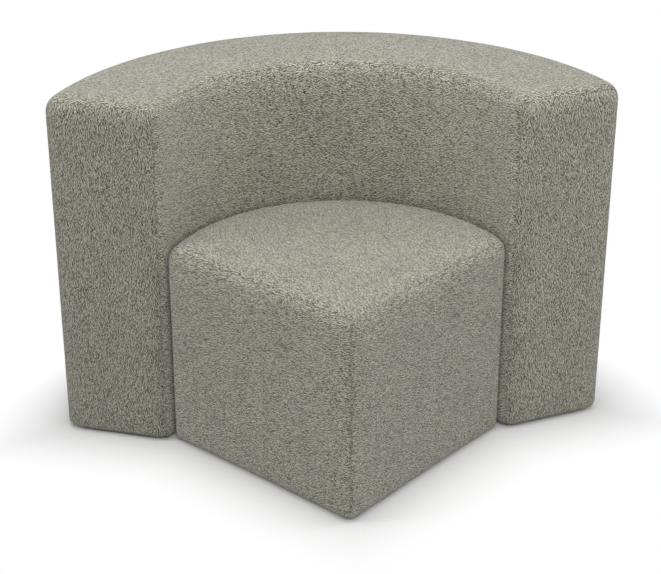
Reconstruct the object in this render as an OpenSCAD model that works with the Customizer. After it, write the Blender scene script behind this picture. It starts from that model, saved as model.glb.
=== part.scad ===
// Corner lounge seat with a curved back that wraps round it.
// Both units are upholstered to the floor and share one arc centre, so the seat nests in the back.
// Millimetres, +Z up. The viewer stands at -Y. The origin is on the floor, under the middle of the whole.

/* [Back unit] */
// Height from the floor to the crown of the top face
back_h = 744; // [620:1:1000]
// Radius of the inside face, about the shared arc centre
back_inner_r = 370; // [350:1:430]
// Thickness of the upholstered wall
back_thick = 238; // [210:1:300]
// Half of the angle that the wall wraps round the sitter
back_half_sweep = 71.6; // [66:0.1:76]
// Radius of the soft edges round the top and down the corners
back_edge_r = 35; // [26:1:42]
// Rise of the top face between its soft edges
back_crown = 3; // [1:0.5:8]

/* [Seat unit] */
// Height from the floor to the crown of the seat
seat_h = 454; // [420:1:520]
// Depth from the sharp front corner to the middle of the curved rear
seat_depth = 583; // [550:1:620]
// Gap between the rear of the seat and the inside of the back
seat_gap = 3; // [1:0.5:8]
// Radius of the soft edges round the top
seat_edge_r = 36; // [26:1:42]
// Radius of the upright front corner
seat_front_corner_r = 22; // [14:1:30]
// Radius of the two upright side corners
seat_side_corner_r = 29; // [18:1:36]
// Rise of the middle of the seat above its soft edges
seat_crown = 6; // [1:0.5:14]
// How far each straight side draws in between its corners
seat_draw = 2; // [0:0.5:4]

/* [Covers and dust covers] */
// Thickness of the woven cover with its backing
cover_t = 2; // [1.2:0.1:3]
// Radius where the covers turn under at the floor
base_edge_r = 11; // [8:1:12]
// Reach of a hem under the frame where it is stapled
hem_grip = 20; // [12:1:26]
// Thickness of the black cloth that closes each underside
dust_cover_t = 1; // [0.6:0.1:1.6]
// Distance from the outer faces to the edge of that cloth
dust_cover_inset = 15; // [12:1:24]

/* [Foam and felt] */
// Foam on the inside of the back
back_inner_foam_t = 30; // [20:1:40]
// Foam on the outside of the back
back_outer_foam_t = 12; // [10:1:20]
// Foam on the two ends of the back
back_end_foam_t = 20; // [14:1:30]
// Upright wall of the top foams below their soft edges
foam_skirt = 3; // [2:0.5:10]
// Foam on the two straight sides of the seat
seat_side_foam_t = 15; // [10:1:22]
// Foam on the curved rear of the seat
seat_rear_foam_t = 10; // [10:1:16]
// Firm foam layer of the seat, under the soft one
seat_firm_foam_t = 45; // [30:1:60]
// Felt between the webbing and the foam
felt_t = 3; // [2:0.5:5]
// Distance from the edge of the seat frame to the felt
felt_inset = 6; // [3:1:15]

/* [Frame] */
// Thickness of the plywood
ply_t = 18; // [15:1:21]
// Thickness of each bent skin of the back
back_skin_t = 5; // [3:0.5:7]
// Radius of the holes that lighten the ribs and the middle former
light_hole_r = 42; // [25:1:50]
// Thickness of the bent rear board of the seat
rear_board_t = 12; // [9:1:15]
// Width of the bottom ring of the seat frame
base_ring_w = 90; // [75:1:100]
// Width of the top ring of the seat frame
deck_ring_w = 45; // [38:1:50]
// Depth of the triangular front block
front_block_d = 45; // [35:1:60]
// Width of the side corner blocks
side_block_w = 42; // [30:1:50]
// Height of the rail that ties the front block to the rear board
centre_rail_h = 70; // [50:1:100]

/* [Webbing] */
// Width of a strap
strap_w = 50; // [40:1:54]
// Thickness of a strap
strap_t = 2; // [1.2:0.1:2.4]
// Length in which a strap changes level
strap_ramp = 12; // [9:0.5:14]
// Distance from the edge of the frame to the end of a strap
strap_end_inset = 8; // [5:1:14]

/* [Floor and joining hardware] */
// Height of the gap under the covers
floor_gap = 5; // [4:0.5:15]
// Radius of a glide
glide_r = 16; // [12:1:20]
// Thickness of a joining plate
plate_t = 2.5; // [2.4:0.1:3]
// Width of a joining plate
plate_w = 40; // [30:1:45]
// Radius of the shank of a screw
screw_r = 2; // [1.5:0.1:2.2]
// Radius of the head of a screw
screw_head_r = 4; // [3.5:0.1:4.4]
// Length of a screw that holds a glide or a joining plate
base_screw_l = 19; // [14:1:20]
// Length of a screw that holds an end board
end_screw_l = 45; // [35:1:60]

/* [Hidden] */
$fn = 180;
// Sides of screws and glides
small_fn = 48;

// Colours as the finished piece shows them
fabric_colour = "#8f8d84";
foam_colour = "#e9e2c4";
ply_colour = "#c9a877";
solid_wood_colour = "#b98f5a";
webbing_colour = "#2b2b2b";
felt_colour = "#b7b4ac";
steel_colour = "#b9bcc0";
nylon_colour = "#1d1d1f";

// Air between a cover and its foam, round a screw and round a halved joint
cover_air = 0.2;
screw_air = 0.1;
joint_air = 0.1;
strap_air = 0.1;
glide_air = 1;
// Extra length of a cutting shape past the face it cuts
overrun = 1;
// Least radius to which an inset corner shrinks
least_corner_r = 3;
// Radius of the blunt point of a screw
screw_point_r = 0.1;
// Level part of a strap past each crossing
strap_level = 1;

// Levels that both units share
cover_skin = cover_t + cover_air;
frame_z0 = floor_gap + cover_skin;
base_arc_z = floor_gap + base_edge_r;
foam_z0 = base_arc_z + cover_air;
base_frame_top = frame_z0 + ply_t;

// Radii and levels of the back unit
back_outer_r = back_inner_r + back_thick;
back_edge_top = back_h - back_crown;
back_edge_z = back_edge_top - back_edge_r;
back_frame_top = back_edge_z - foam_skirt;
frame_in_r = back_inner_r + cover_skin + back_inner_foam_t;
former_in_r = frame_in_r + back_skin_t;
frame_out_r = back_outer_r - cover_skin - back_outer_foam_t;
former_out_r = frame_out_r - back_skin_t;
former_mid_r = (former_in_r + former_out_r) / 2;
end_board_gap = cover_skin + back_end_foam_t;
former_gap = end_board_gap + ply_t;
top_former_z = back_frame_top - ply_t;
mid_former_z = (base_frame_top + top_former_z - ply_t) / 2;
back_hem_in = former_in_r + hem_grip - back_inner_r - base_edge_r;
back_hem_out = back_outer_r - base_edge_r - former_out_r + hem_grip;

// Ribs, glides and joining plates stand at shares of the half sweep
rib_angle_shares = [-0.62, -0.31, 0, 0.31, 0.62];
glide_angle_shares = [-0.82, -0.42, 0, 0.42, 0.82];
plate_angle_shares = [-0.22, 0.22];
end_screw_depth_shares = [0.25, 0.75];

// Radii and levels of the seat unit
seat_r = back_inner_r - seat_gap;
corner_reach = seat_depth - seat_r;
side_reach = corner_reach * sin(45);
seat_edge_top = seat_h - seat_crown;
seat_edge_z = seat_edge_top - seat_edge_r;
soft_foam_z = seat_edge_z - foam_skirt;
firm_foam_z = soft_foam_z - seat_firm_foam_t;
felt_z = firm_foam_z - felt_t;
weave_lift = (strap_t + strap_air) / 2;
deck_top = felt_z - weave_lift - strap_t;
deck_ring_z = deck_top - ply_t;
side_inset = cover_skin + seat_side_foam_t;
rear_inset = cover_skin + seat_rear_foam_t;
seat_frame_r = seat_r - rear_inset;
seat_inner_r = seat_frame_r - rear_board_t;
seat_frame_reach = side_reach - side_inset;
seat_hem = side_inset + hem_grip;
strap_n = 4;
strap_margin = strap_w / 2 + strap_ramp + strap_level;
strap_first = deck_ring_w + strap_margin;
strap_last = seat_frame_reach + (seat_frame_r - deck_ring_w) * sin(45) - strap_margin;
strap_pitch = (strap_last - strap_first) / (strap_n - 1);
seat_mid_y = (seat_r - corner_reach) / 2;
seat_glide_r = seat_frame_r - base_ring_w / 2;
corner_glide_angle = 45 + asin((seat_frame_reach - base_ring_w / 2) / seat_glide_r);
front_glide_y = -(seat_frame_reach - base_ring_w / 2) / sin(45);
crown_shares = [0.78, 0.52, 0.26];

// Screws of the joining plates, two in each unit, clear of the hems
plate_edge = 15;
plate_screw_rs = [seat_frame_r - hem_grip - plate_w - plate_edge / 2, seat_frame_r - hem_grip - plate_edge,
    former_in_r + hem_grip + plate_edge, former_in_r + hem_grip + plate_w + plate_edge / 2];

// The origin lies under the middle of the overall box
front_y = -(side_reach - seat_front_corner_r) / sin(45) - seat_front_corner_r;
mid_depth = (back_outer_r + front_y) / 2;

// Points on the plan of the back

// Degrees round the soft edge at each end, from the end face to the wall
end_angles = [8, 22.5, 45, 67.5, 90];
edge_angles = [0, 22.5, 45, 67.5, 90];
edge_last = len(edge_angles) - 1;
back_arc_n = 20;
end_step_angle = 1.2;
arc_end = back_half_sweep - asin(back_edge_r / back_inner_r) - end_step_angle;

// A station is [side, degrees]: side -1 or 1 counts round an end edge, side 0 is an angle on the arc
stations = concat(
    [for (a = end_angles) [-1, a]],
    [for (k = [0 : back_arc_n]) [0, arc_end * (2 * k / back_arc_n - 1)]],
    [for (k = [len(end_angles) - 1 : -1 : 0]) [1, end_angles[k]]]);
end_n = len(end_angles);
station_n = len(stations);
left_seam = 2;
right_seam = station_n - 1 - left_seam;

function kept(st) = st[0] == 0 ? 1 : sin(st[1]);
function end_depth(st, inset) =
    st[1] == end_angles[0] ? inset : back_edge_r - (back_edge_r - inset) * cos(st[1]);
function at_end(side, r, d) =
    let (x = sqrt(r * r - d * d))
    [side * (x * sin(back_half_sweep) - d * cos(back_half_sweep)),
     x * cos(back_half_sweep) + d * sin(back_half_sweep)];
function at_station(st, inset, r) =
    st[0] == 0 ? [r * sin(st[1]), r * cos(st[1])] : at_end(st[0], r, end_depth(st, inset));

// Radius of one wall at a station: dir is 1 on the inside face and -1 on the outside face
function wall_r(st, inset, face_r, dir) = face_r + dir * (back_edge_r - (back_edge_r - inset) * kept(st));

// Radius of the turn-under at the floor, which shrinks into the corner at each end
function base_turn(st, inset) =
    let (d = st[0] == 0 ? base_edge_r : min(end_depth(st, inset), base_edge_r),
         lost = (base_edge_r - d) / (base_edge_r - inset))
    (base_edge_r - inset) * max(sin(end_angles[0]), sqrt(max(0, 1 - lost * lost)));

// Half of the section at a station, from the hem up one wall to the end of the soft top edge
function top_arc(st, inset, face_r, dir) =
    let (r = (back_edge_r - inset) * kept(st), c = face_r + dir * back_edge_r)
    [for (b = edge_angles) [c - dir * r * cos(b), back_edge_z + r * sin(b)]];
function half_section(st, inset, face_r, dir, hem) =
    let (b = base_turn(st, inset), x = wall_r(st, inset, face_r, dir))
    concat(
        [[x + dir * (b + hem), base_arc_z - b],
         [x + dir * b, base_arc_z - b],
         [x + dir * b * (1 - sin(45)), base_arc_z - b * cos(45)],
         [x, base_arc_z]],
        top_arc(st, inset, face_r, dir));

// Crown between the two soft top edges
crown_across_shares = [0.25, 0.5, 0.75];
function crown_points(st, inset) =
    let (in_arc = top_arc(st, inset, back_inner_r, 1), out_arc = top_arc(st, inset, back_outer_r, -1),
         a = in_arc[edge_last], b = out_arc[edge_last])
    [for (s = crown_across_shares)
        [a[0] + (b[0] - a[0]) * s, a[1] + back_crown * kept(st) * (1 - cos(360 * s)) / 2]];
function reversed(list) = [for (k = [len(list) - 1 : -1 : 0]) list[k]];
function section(st, inset) =
    concat(
        half_section(st, inset, back_inner_r, 1, back_hem_in),
        crown_points(st, inset),
        reversed(half_section(st, inset, back_outer_r, -1, back_hem_out)));
function lifted(st, inset, points) =
    [for (p = points) let (q = at_station(st, inset, p[0])) [q[0], q[1], p[1]]];
function back_ring(k, inset) = lifted(stations[k], inset, section(stations[k], inset));
function end_tip(side, inset) =
    let (q = at_end(side, (back_inner_r + back_outer_r) / 2, inset))
    [q[0], q[1], (floor_gap + back_h) / 2];

// Places in a section where one cover panel is sewn to the next
arc_start = 4;
inner_seam = arc_start + edge_last / 2;
last_point = 2 * (arc_start + edge_last) + len(crown_across_shares) + 1;
outer_seam = last_point - inner_seam;

function back_grid(inset, from, to) =
    [for (k = [left_seam : right_seam])
        let (ring = back_ring(k, inset)) [for (j = [from : to]) ring[j]]];

// Section of the foam on top, from the frame up over the soft edges
function top_foam_ring(k) =
    let (st = stations[k], full = section(st, cover_skin))
    lifted(st, cover_skin, concat(
        [[wall_r(st, cover_skin, back_inner_r, 1), back_frame_top]],
        [for (j = [arc_start : last_point - arc_start]) full[j]],
        [[wall_r(st, cover_skin, back_outer_r, -1), back_frame_top]]));
function top_foam_tip(side) =
    let (q = at_end(side, (back_inner_r + back_outer_r) / 2, cover_skin))
    [q[0], q[1], (back_frame_top + back_edge_z) / 2];

// Plan outline of the back at the height of its walls
function back_outline(inset) =
    concat(
        [for (st = stations) at_station(st, inset, wall_r(st, inset, back_inner_r, 1))],
        reversed([for (st = stations) at_station(st, inset, wall_r(st, inset, back_outer_r, -1))]));

// Points on the plan of the seat

front_points = 3;
corner_n = 4;
rear_n = 7;
side_points = 3;
function shrunk(r, inset) = max(r - inset, least_corner_r);
function side_centre(inset) =
    let (r = shrunk(seat_side_corner_r, inset), h = side_reach - inset - r,
         s = sqrt(pow(seat_r - inset - r, 2) - h * h))
    [(h + s) * cos(45), (s - h) * sin(45)];
function front_centre(inset) =
    [0, -(side_reach - inset - shrunk(seat_front_corner_r, inset)) / sin(45)];
function round_point(c, r, a) = [c[0] + r * cos(a), c[1] + r * sin(a)];

// Right half of the outline from the front corner to the middle of the rear
function half_outline(inset) =
    let (rf = shrunk(seat_front_corner_r, inset), rs = shrunk(seat_side_corner_r, inset),
         cf = front_centre(inset), cs = side_centre(inset), turn = atan2(cs[1], cs[0]),
         a = round_point(cf, rf, -45), b = round_point(cs, rs, -45))
    concat(
        [round_point(cf, rf, -90), round_point(cf, rf, -67.5), a],
        [for (k = [1 : side_points])
            let (s = k / (side_points + 1), pull = seat_draw * sin(180 * s) * sin(45))
            [a[0] + (b[0] - a[0]) * s - pull, a[1] + (b[1] - a[1]) * s + pull]],
        [for (k = [0 : corner_n]) round_point(cs, rs, -45 + (turn + 45) * k / corner_n)],
        [for (k = [1 : rear_n]) round_point([0, 0], seat_r - inset, turn + (90 - turn) * k / rear_n)]);
function seat_outline(inset) =
    let (half = half_outline(inset), last = len(half) - 1)
    concat(half, [for (k = [last - 1 : -1 : 1]) [-half[k][0], half[k][1]]]);
outline_n = len(seat_outline(0));
side_seam = front_points + side_points + corner_n / 2;

// Degrees round the soft top edge, below and above the seam along its middle
wall_angles = [0, 22.5, 45];
top_angles = [45, 67.5, 90];
function seat_ring(inset, z) = [for (p = seat_outline(inset)) [p[0], p[1], z]];
function seat_walls(inset) =
    let (b = base_edge_r - inset)
    concat(
        [seat_ring(seat_hem, floor_gap + inset),
         seat_ring(base_edge_r, floor_gap + inset),
         seat_ring(base_edge_r - b * sin(45), base_arc_z - b * cos(45)),
         seat_ring(inset, base_arc_z)],
        [for (a = wall_angles)
            seat_ring(seat_edge_r - (seat_edge_r - inset) * cos(a),
                seat_edge_z + (seat_edge_r - inset) * sin(a))]);
function seat_crown_rings(inset, steps) =
    let (z = seat_edge_top - inset, rim = seat_outline(seat_edge_r))
    concat(
        [for (a = steps)
            seat_ring(seat_edge_r - (seat_edge_r - inset) * cos(a),
                seat_edge_z + (seat_edge_r - inset) * sin(a))],
        [for (s = crown_shares)
            [for (p = rim)
                [p[0] * s, seat_mid_y + (p[1] - seat_mid_y) * s, z + seat_crown * (1 + cos(180 * s)) / 2]]]);
function seat_tip(inset) = [0, seat_mid_y, seat_h - inset];
function columns(rings, from, to) =
    [for (ring = rings) [for (j = [from : to]) ring[j % len(ring)]]];

// Closed solids from rings and grids of points

function flat(lists) = [for (l = lists) each l];
function quad(a, b, c, d) = [[a, b, c], [a, c, d]];
function turned(faces, yes) = yes ? [for (f = faces) reversed(f)] : faces;

// Sheet between an outer and an inner grid of the same rows and columns
module open_sheet(outer, inner, flip = false) {
    rows = len(outer);
    cols = len(outer[0]);
    n = rows * cols;
    faces = concat(
        [for (i = [0 : rows - 2], j = [0 : cols - 2])
            let (a = i * cols + j) each quad(a, a + 1, a + cols + 1, a + cols)],
        [for (i = [0 : rows - 2], j = [0 : cols - 2])
            let (a = n + i * cols + j) each quad(a + cols, a + cols + 1, a + 1, a)],
        [for (j = [0 : cols - 2]) each quad(j + 1, j, n + j, n + j + 1)],
        [for (j = [0 : cols - 2])
            let (a = (rows - 1) * cols + j) each quad(a, a + 1, n + a + 1, n + a)],
        [for (i = [0 : rows - 2])
            let (a = i * cols) each quad(a, a + cols, n + a + cols, n + a)],
        [for (i = [0 : rows - 2])
            let (a = i * cols + cols - 1) each quad(a + cols, a, n + a, n + a + cols)]);
    polyhedron(concat(flat(outer), flat(inner)), turned(faces, flip));
}

// Sheet between two nests of closed rings, each shut by its own middle point
module domed_sheet(outer, inner, outer_tip, inner_tip, flip = false) {
    rows = len(outer);
    cols = len(outer[0]);
    n = rows * cols;
    last = (rows - 1) * cols;
    faces = concat(
        [for (i = [0 : rows - 2], j = [0 : cols - 1])
            let (a = i * cols, k = (j + 1) % cols) each quad(a + j, a + k, a + cols + k, a + cols + j)],
        [for (i = [0 : rows - 2], j = [0 : cols - 1])
            let (a = n + i * cols, k = (j + 1) % cols) each quad(a + cols + j, a + cols + k, a + k, a + j)],
        [for (j = [0 : cols - 1])
            let (k = (j + 1) % cols) each quad(k, j, n + j, n + k)],
        [for (j = [0 : cols - 1]) [last + j, last + (j + 1) % cols, 2 * n]],
        [for (j = [0 : cols - 1]) [n + last + (j + 1) % cols, n + last + j, 2 * n + 1]]);
    polyhedron(concat(flat(outer), flat(inner), [outer_tip, inner_tip]), turned(faces, flip));
}

// Solid through closed rings, shut at both ends by a middle point
module ring_solid(rings, first_tip, last_tip, flip = false) {
    rows = len(rings);
    cols = len(rings[0]);
    n = rows * cols;
    last = (rows - 1) * cols;
    faces = concat(
        [for (i = [0 : rows - 2], j = [0 : cols - 1])
            let (a = i * cols, k = (j + 1) % cols) each quad(a + j, a + k, a + cols + k, a + cols + j)],
        [for (j = [0 : cols - 1]) [(j + 1) % cols, j, n]],
        [for (j = [0 : cols - 1]) [last + j, last + (j + 1) % cols, n + 1]]);
    polyhedron(concat(flat(rings), [first_tip, last_tip]), turned(faces, flip));
}

// Shared placing and cutting

module set_in_frame() {
    translate([0, -mid_depth, 0]) children();
}

// Upright prism with the open angle between the two ends, each drawn in by gap
module between_ends(gap) {
    far = 2 * back_outer_r;
    x = far * sin(back_half_sweep) - gap * cos(back_half_sweep);
    y = far * cos(back_half_sweep) + gap * sin(back_half_sweep);
    polygon([[0, gap / sin(back_half_sweep)], [x, y], [x, far], [-x, far], [-x, y]]);
}

// Curved wall between two radii, with flat ends
module arc_wall(r_in, r_out, z, h, gap) {
    translate([0, 0, z])
        linear_extrude(h)
            intersection() {
                difference() {
                    circle(r = r_out);
                    circle(r = r_in);
                }
                between_ends(gap);
            }
}

// Local frame of one end: x runs outwards along the end face and y runs in from it
module at_back_end(side) {
    mirror([side < 0 ? 1 : 0, 0, 0])
        rotate([0, 0, 90 - back_half_sweep])
            children();
}

// Local frame at an angle round the arc centre, with +Y outwards
module at_angle(a) {
    rotate([0, 0, -a]) children();
}

module half_plane(side) {
    far = 2 * back_outer_r;
    translate([side > 0 ? 0 : -far, -far]) square([far, 2 * far]);
}

// Square corner that opens towards the rear, drawn in from the two straight sides
module side_corner(inset) {
    translate([0, -(side_reach - inset) / sin(45)])
        rotate(45)
            square(2 * back_outer_r);
}
module seat_plan(inset_side, inset_rear) {
    intersection() {
        circle(r = seat_r - inset_rear);
        side_corner(inset_side);
    }
}
module frame_plan(more) {
    seat_plan(side_inset + more, rear_inset + more);
}

// Angle from +Y to the side corner of the seat frame
corner_angle = 45 + asin(seat_frame_reach / seat_frame_r);
module rear_sector() {
    far = 2 * seat_r;
    polygon([[0, 0], [far * sin(corner_angle), far * cos(corner_angle)], [far * sin(corner_angle), far],
        [-far * sin(corner_angle), far], [-far * sin(corner_angle), far * cos(corner_angle)]]);
}

// Countersunk screw that points up, with the face of its head at the origin
screw_head_h = screw_head_r - screw_r;
screw_tip_h = 2 * screw_r;
module screw(l) {
    $fn = small_fn;
    cylinder(r1 = screw_head_r, r2 = screw_r, h = screw_head_h);
    cylinder(r = screw_r, h = l - screw_tip_h);
    translate([0, 0, l - screw_tip_h]) cylinder(r1 = screw_r, r2 = screw_point_r, h = screw_tip_h);
}
module screw_hole(l) {
    $fn = small_fn;
    cylinder(r1 = screw_head_r + screw_air, r2 = screw_r + screw_air, h = screw_head_h);
    translate([0, 0, -overrun]) cylinder(r = screw_head_r + screw_air, h = overrun);
    cylinder(r = screw_r + screw_air, h = l + screw_air);
}

// Places of the screws and glides

module each_end_screw(side) {
    for (z = [frame_z0 + ply_t / 2, mid_former_z + ply_t / 2, top_former_z + ply_t / 2])
        for (s = end_screw_depth_shares)
            at_back_end(side)
                translate([former_in_r + (former_out_r - former_in_r) * s, end_board_gap, z])
                    rotate([-90, 0, 0])
                        children();
}
module each_back_glide() {
    for (s = glide_angle_shares)
        at_angle(back_half_sweep * s)
            translate([0, former_mid_r, 0])
                children();
}
module each_seat_glide() {
    for (a = [-corner_glide_angle, 0, corner_glide_angle])
        at_angle(a)
            translate([0, seat_glide_r, 0])
                children();
    translate([0, front_glide_y, 0]) children();
}
module each_plate() {
    for (s = plate_angle_shares)
        at_angle(back_half_sweep * s) children();
}
plate_z = floor_gap - plate_t;
module each_plate_screw() {
    each_plate()
        for (r = plate_screw_rs)
            translate([0, r, plate_z])
                children();
}

// Nylon glide with a chamfered foot and a sunk screw
glide_chamfer = 2.5;
glide_screw_z = 1.5;
module glide() {
    difference() {
        rotate_extrude($fn = small_fn)
            polygon([[0, 0], [glide_r - glide_chamfer, 0], [glide_r, glide_chamfer],
                [glide_r, frame_z0], [0, frame_z0]]);
        translate([0, 0, glide_screw_z]) screw_hole(base_screw_l);
        translate([0, 0, -overrun])
            cylinder(r = screw_head_r + screw_air, h = overrun + glide_screw_z, $fn = small_fn);
    }
}

// Frame of the back

module back_former(z) {
    arc_wall(former_in_r, former_out_r, z, ply_t, former_gap);
}
module back_base_former() {
    color(ply_colour)
        difference() {
            back_former(frame_z0);
            for (side = [-1, 1]) each_end_screw(side) screw_hole(end_screw_l);
            each_back_glide() translate([0, 0, glide_screw_z]) screw_hole(base_screw_l);
            each_plate_screw() screw_hole(base_screw_l);
        }
}
module rib_slot_in_former() {
    for (s = rib_angle_shares)
        at_angle(back_half_sweep * s)
            translate([-ply_t / 2 - joint_air, former_mid_r - joint_air, mid_former_z - overrun])
                cube([ply_t + 2 * joint_air, former_out_r - former_mid_r + 2 * overrun, ply_t + 2 * overrun]);
}
module back_mid_former() {
    bay = back_half_sweep * (rib_angle_shares[1] - rib_angle_shares[0]);
    color(ply_colour)
        difference() {
            back_former(mid_former_z);
            rib_slot_in_former();
            for (k = [-1.5 : 1 : 1.5])
                at_angle(bay * k)
                    translate([0, former_mid_r, mid_former_z - overrun])
                        cylinder(r = light_hole_r, h = ply_t + 2 * overrun);
            for (side = [-1, 1]) each_end_screw(side) screw_hole(end_screw_l);
        }
}
module back_top_former() {
    color(ply_colour)
        difference() {
            back_former(top_former_z);
            for (side = [-1, 1]) each_end_screw(side) screw_hole(end_screw_l);
        }
}

// Upright rib, halved over the middle former and lightened by a hole in each bay
module back_rib(k) {
    lower_z = (base_frame_top + mid_former_z) / 2;
    upper_z = (mid_former_z + ply_t + top_former_z) / 2;
    turn = back_half_sweep * rib_angle_shares[k];
    color(ply_colour)
        difference() {
            translate([0, 0, base_frame_top])
                linear_extrude(top_former_z - base_frame_top)
                    difference() {
                        intersection() {
                            circle(r = former_out_r);
                            at_angle(turn) translate([-ply_t / 2, 0]) square([ply_t, back_outer_r]);
                        }
                        circle(r = former_in_r);
                    }
            at_angle(turn) {
                translate([-ply_t / 2 - overrun, former_in_r - 2 * overrun, mid_former_z - joint_air])
                    cube([ply_t + 2 * overrun, former_mid_r - former_in_r + 2 * overrun + joint_air,
                        ply_t + 2 * joint_air]);
                for (z = [lower_z, upper_z])
                    translate([-ply_t / 2 - overrun, former_mid_r, z])
                        rotate([0, 90, 0])
                            cylinder(r = light_hole_r, h = ply_t + 2 * overrun);
            }
        }
}
module back_end_board(side) {
    color(ply_colour)
        difference() {
            intersection() {
                at_back_end(side)
                    translate([0, end_board_gap, frame_z0])
                        cube([back_outer_r, ply_t, back_frame_top - frame_z0]);
                translate([0, 0, frame_z0])
                    linear_extrude(back_frame_top - frame_z0)
                        difference() {
                            circle(r = former_out_r);
                            circle(r = former_in_r);
                        }
            }
            each_end_screw(side) screw_hole(end_screw_l);
        }
}
module back_inner_skin() {
    color(ply_colour)
        arc_wall(frame_in_r, former_in_r, frame_z0, back_frame_top - frame_z0, end_board_gap);
}
module back_outer_skin() {
    color(ply_colour)
        arc_wall(former_out_r, frame_out_r, frame_z0, back_frame_top - frame_z0, end_board_gap);
}
module end_board_screws() {
    color(steel_colour)
        for (side = [-1, 1]) each_end_screw(side) screw(end_screw_l);
}

// Foam of the back

module back_foam_plan() {
    translate([0, 0, foam_z0])
        linear_extrude(back_frame_top - foam_z0)
            children();
}
module back_inner_foam() {
    color(foam_colour)
        back_foam_plan()
            intersection() {
                polygon(back_outline(cover_skin));
                between_ends(end_board_gap);
                circle(r = frame_in_r);
            }
}
module back_outer_foam() {
    color(foam_colour)
        back_foam_plan()
            difference() {
                intersection() {
                    polygon(back_outline(cover_skin));
                    between_ends(end_board_gap);
                }
                circle(r = frame_out_r);
            }
}
module back_end_foam(side) {
    color(foam_colour)
        back_foam_plan()
            intersection() {
                difference() {
                    polygon(back_outline(cover_skin));
                    between_ends(end_board_gap);
                }
                half_plane(side);
            }
}
module back_top_foam() {
    color(foam_colour)
        ring_solid([for (k = [0 : station_n - 1]) top_foam_ring(k)], top_foam_tip(-1), top_foam_tip(1));
}

// Covers of the back, sewn to each other along the middle of every soft edge

module back_inner_cover() {
    color(fabric_colour)
        open_sheet(back_grid(0, 0, inner_seam), back_grid(cover_t, 0, inner_seam));
}
module back_outer_cover() {
    color(fabric_colour)
        open_sheet(back_grid(0, outer_seam, last_point), back_grid(cover_t, outer_seam, last_point));
}
module back_top_cover() {
    color(fabric_colour)
        open_sheet(back_grid(0, inner_seam, outer_seam), back_grid(cover_t, inner_seam, outer_seam));
}
module back_end_cover(side) {
    order = side < 0 ? [left_seam : -1 : 0] : [right_seam : station_n - 1];
    color(fabric_colour)
        domed_sheet([for (k = order) back_ring(k, 0)], [for (k = order) back_ring(k, cover_t)],
            end_tip(side, 0), end_tip(side, cover_t), side < 0);
}

// Underside of the back

module plate_plan(more) {
    first = plate_screw_rs[0];
    last = plate_screw_rs[3];
    each_plate() {
        translate([-plate_w / 2 - more, first]) square([plate_w + 2 * more, last - first]);
        for (r = [first, last]) translate([0, r]) circle(r = plate_w / 2 + more);
    }
}
module back_dust_cover() {
    color(nylon_colour)
        translate([0, 0, floor_gap - dust_cover_t])
            linear_extrude(dust_cover_t)
                difference() {
                    intersection() {
                        circle(r = back_outer_r - dust_cover_inset);
                        between_ends(dust_cover_inset);
                    }
                    circle(r = back_inner_r + dust_cover_inset);
                    each_back_glide() circle(r = glide_r + glide_air);
                    plate_plan(glide_air);
                }
}
module back_glides() {
    color(nylon_colour) each_back_glide() glide();
}
module back_glide_screws() {
    color(steel_colour)
        each_back_glide() translate([0, 0, glide_screw_z]) screw(base_screw_l);
}

// Frame of the seat

module seat_base_ring() {
    color(ply_colour)
        difference() {
            translate([0, 0, frame_z0])
                linear_extrude(ply_t)
                    difference() {
                        frame_plan(0);
                        frame_plan(base_ring_w);
                    }
            each_seat_glide() translate([0, 0, glide_screw_z]) screw_hole(base_screw_l);
            each_plate_screw() screw_hole(base_screw_l);
        }
}
module seat_deck_ring() {
    color(ply_colour)
        translate([0, 0, deck_ring_z])
            linear_extrude(ply_t)
                difference() {
                    frame_plan(0);
                    frame_plan(deck_ring_w);
                }
}
module between_seat_rings() {
    translate([0, 0, base_frame_top])
        linear_extrude(deck_ring_z - base_frame_top)
            children();
}
module seat_side_board(side) {
    color(ply_colour)
        between_seat_rings()
            intersection() {
                difference() {
                    seat_plan(side_inset, rear_inset + rear_board_t);
                    side_corner(side_inset + ply_t);
                }
                half_plane(side);
            }
}
module seat_rear_board() {
    color(ply_colour)
        between_seat_rings()
            difference() {
                frame_plan(0);
                circle(r = seat_inner_r);
            }
}
inner_front_y = -(seat_frame_reach - ply_t) / sin(45);
module seat_front_block() {
    color(solid_wood_colour)
        between_seat_rings()
            polygon([[0, inner_front_y], [front_block_d, inner_front_y + front_block_d],
                [-front_block_d, inner_front_y + front_block_d]]);
}
module seat_side_block(side) {
    reach = seat_frame_reach - ply_t;
    along = sqrt(seat_inner_r * seat_inner_r - reach * reach);
    color(solid_wood_colour)
        between_seat_rings()
            mirror([side < 0 ? 1 : 0, 0])
                intersection() {
                    circle(r = seat_inner_r);
                    rotate(45)
                        translate([along - side_block_w, -reach])
                            square([2 * side_block_w, side_block_w]);
                }
}
module seat_centre_rail() {
    start_y = inner_front_y + front_block_d;
    color(solid_wood_colour)
        translate([0, 0, base_frame_top])
            linear_extrude(centre_rail_h)
                intersection() {
                    circle(r = seat_inner_r);
                    translate([-ply_t / 2, start_y]) square([ply_t, seat_r - start_y]);
                }
}

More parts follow.
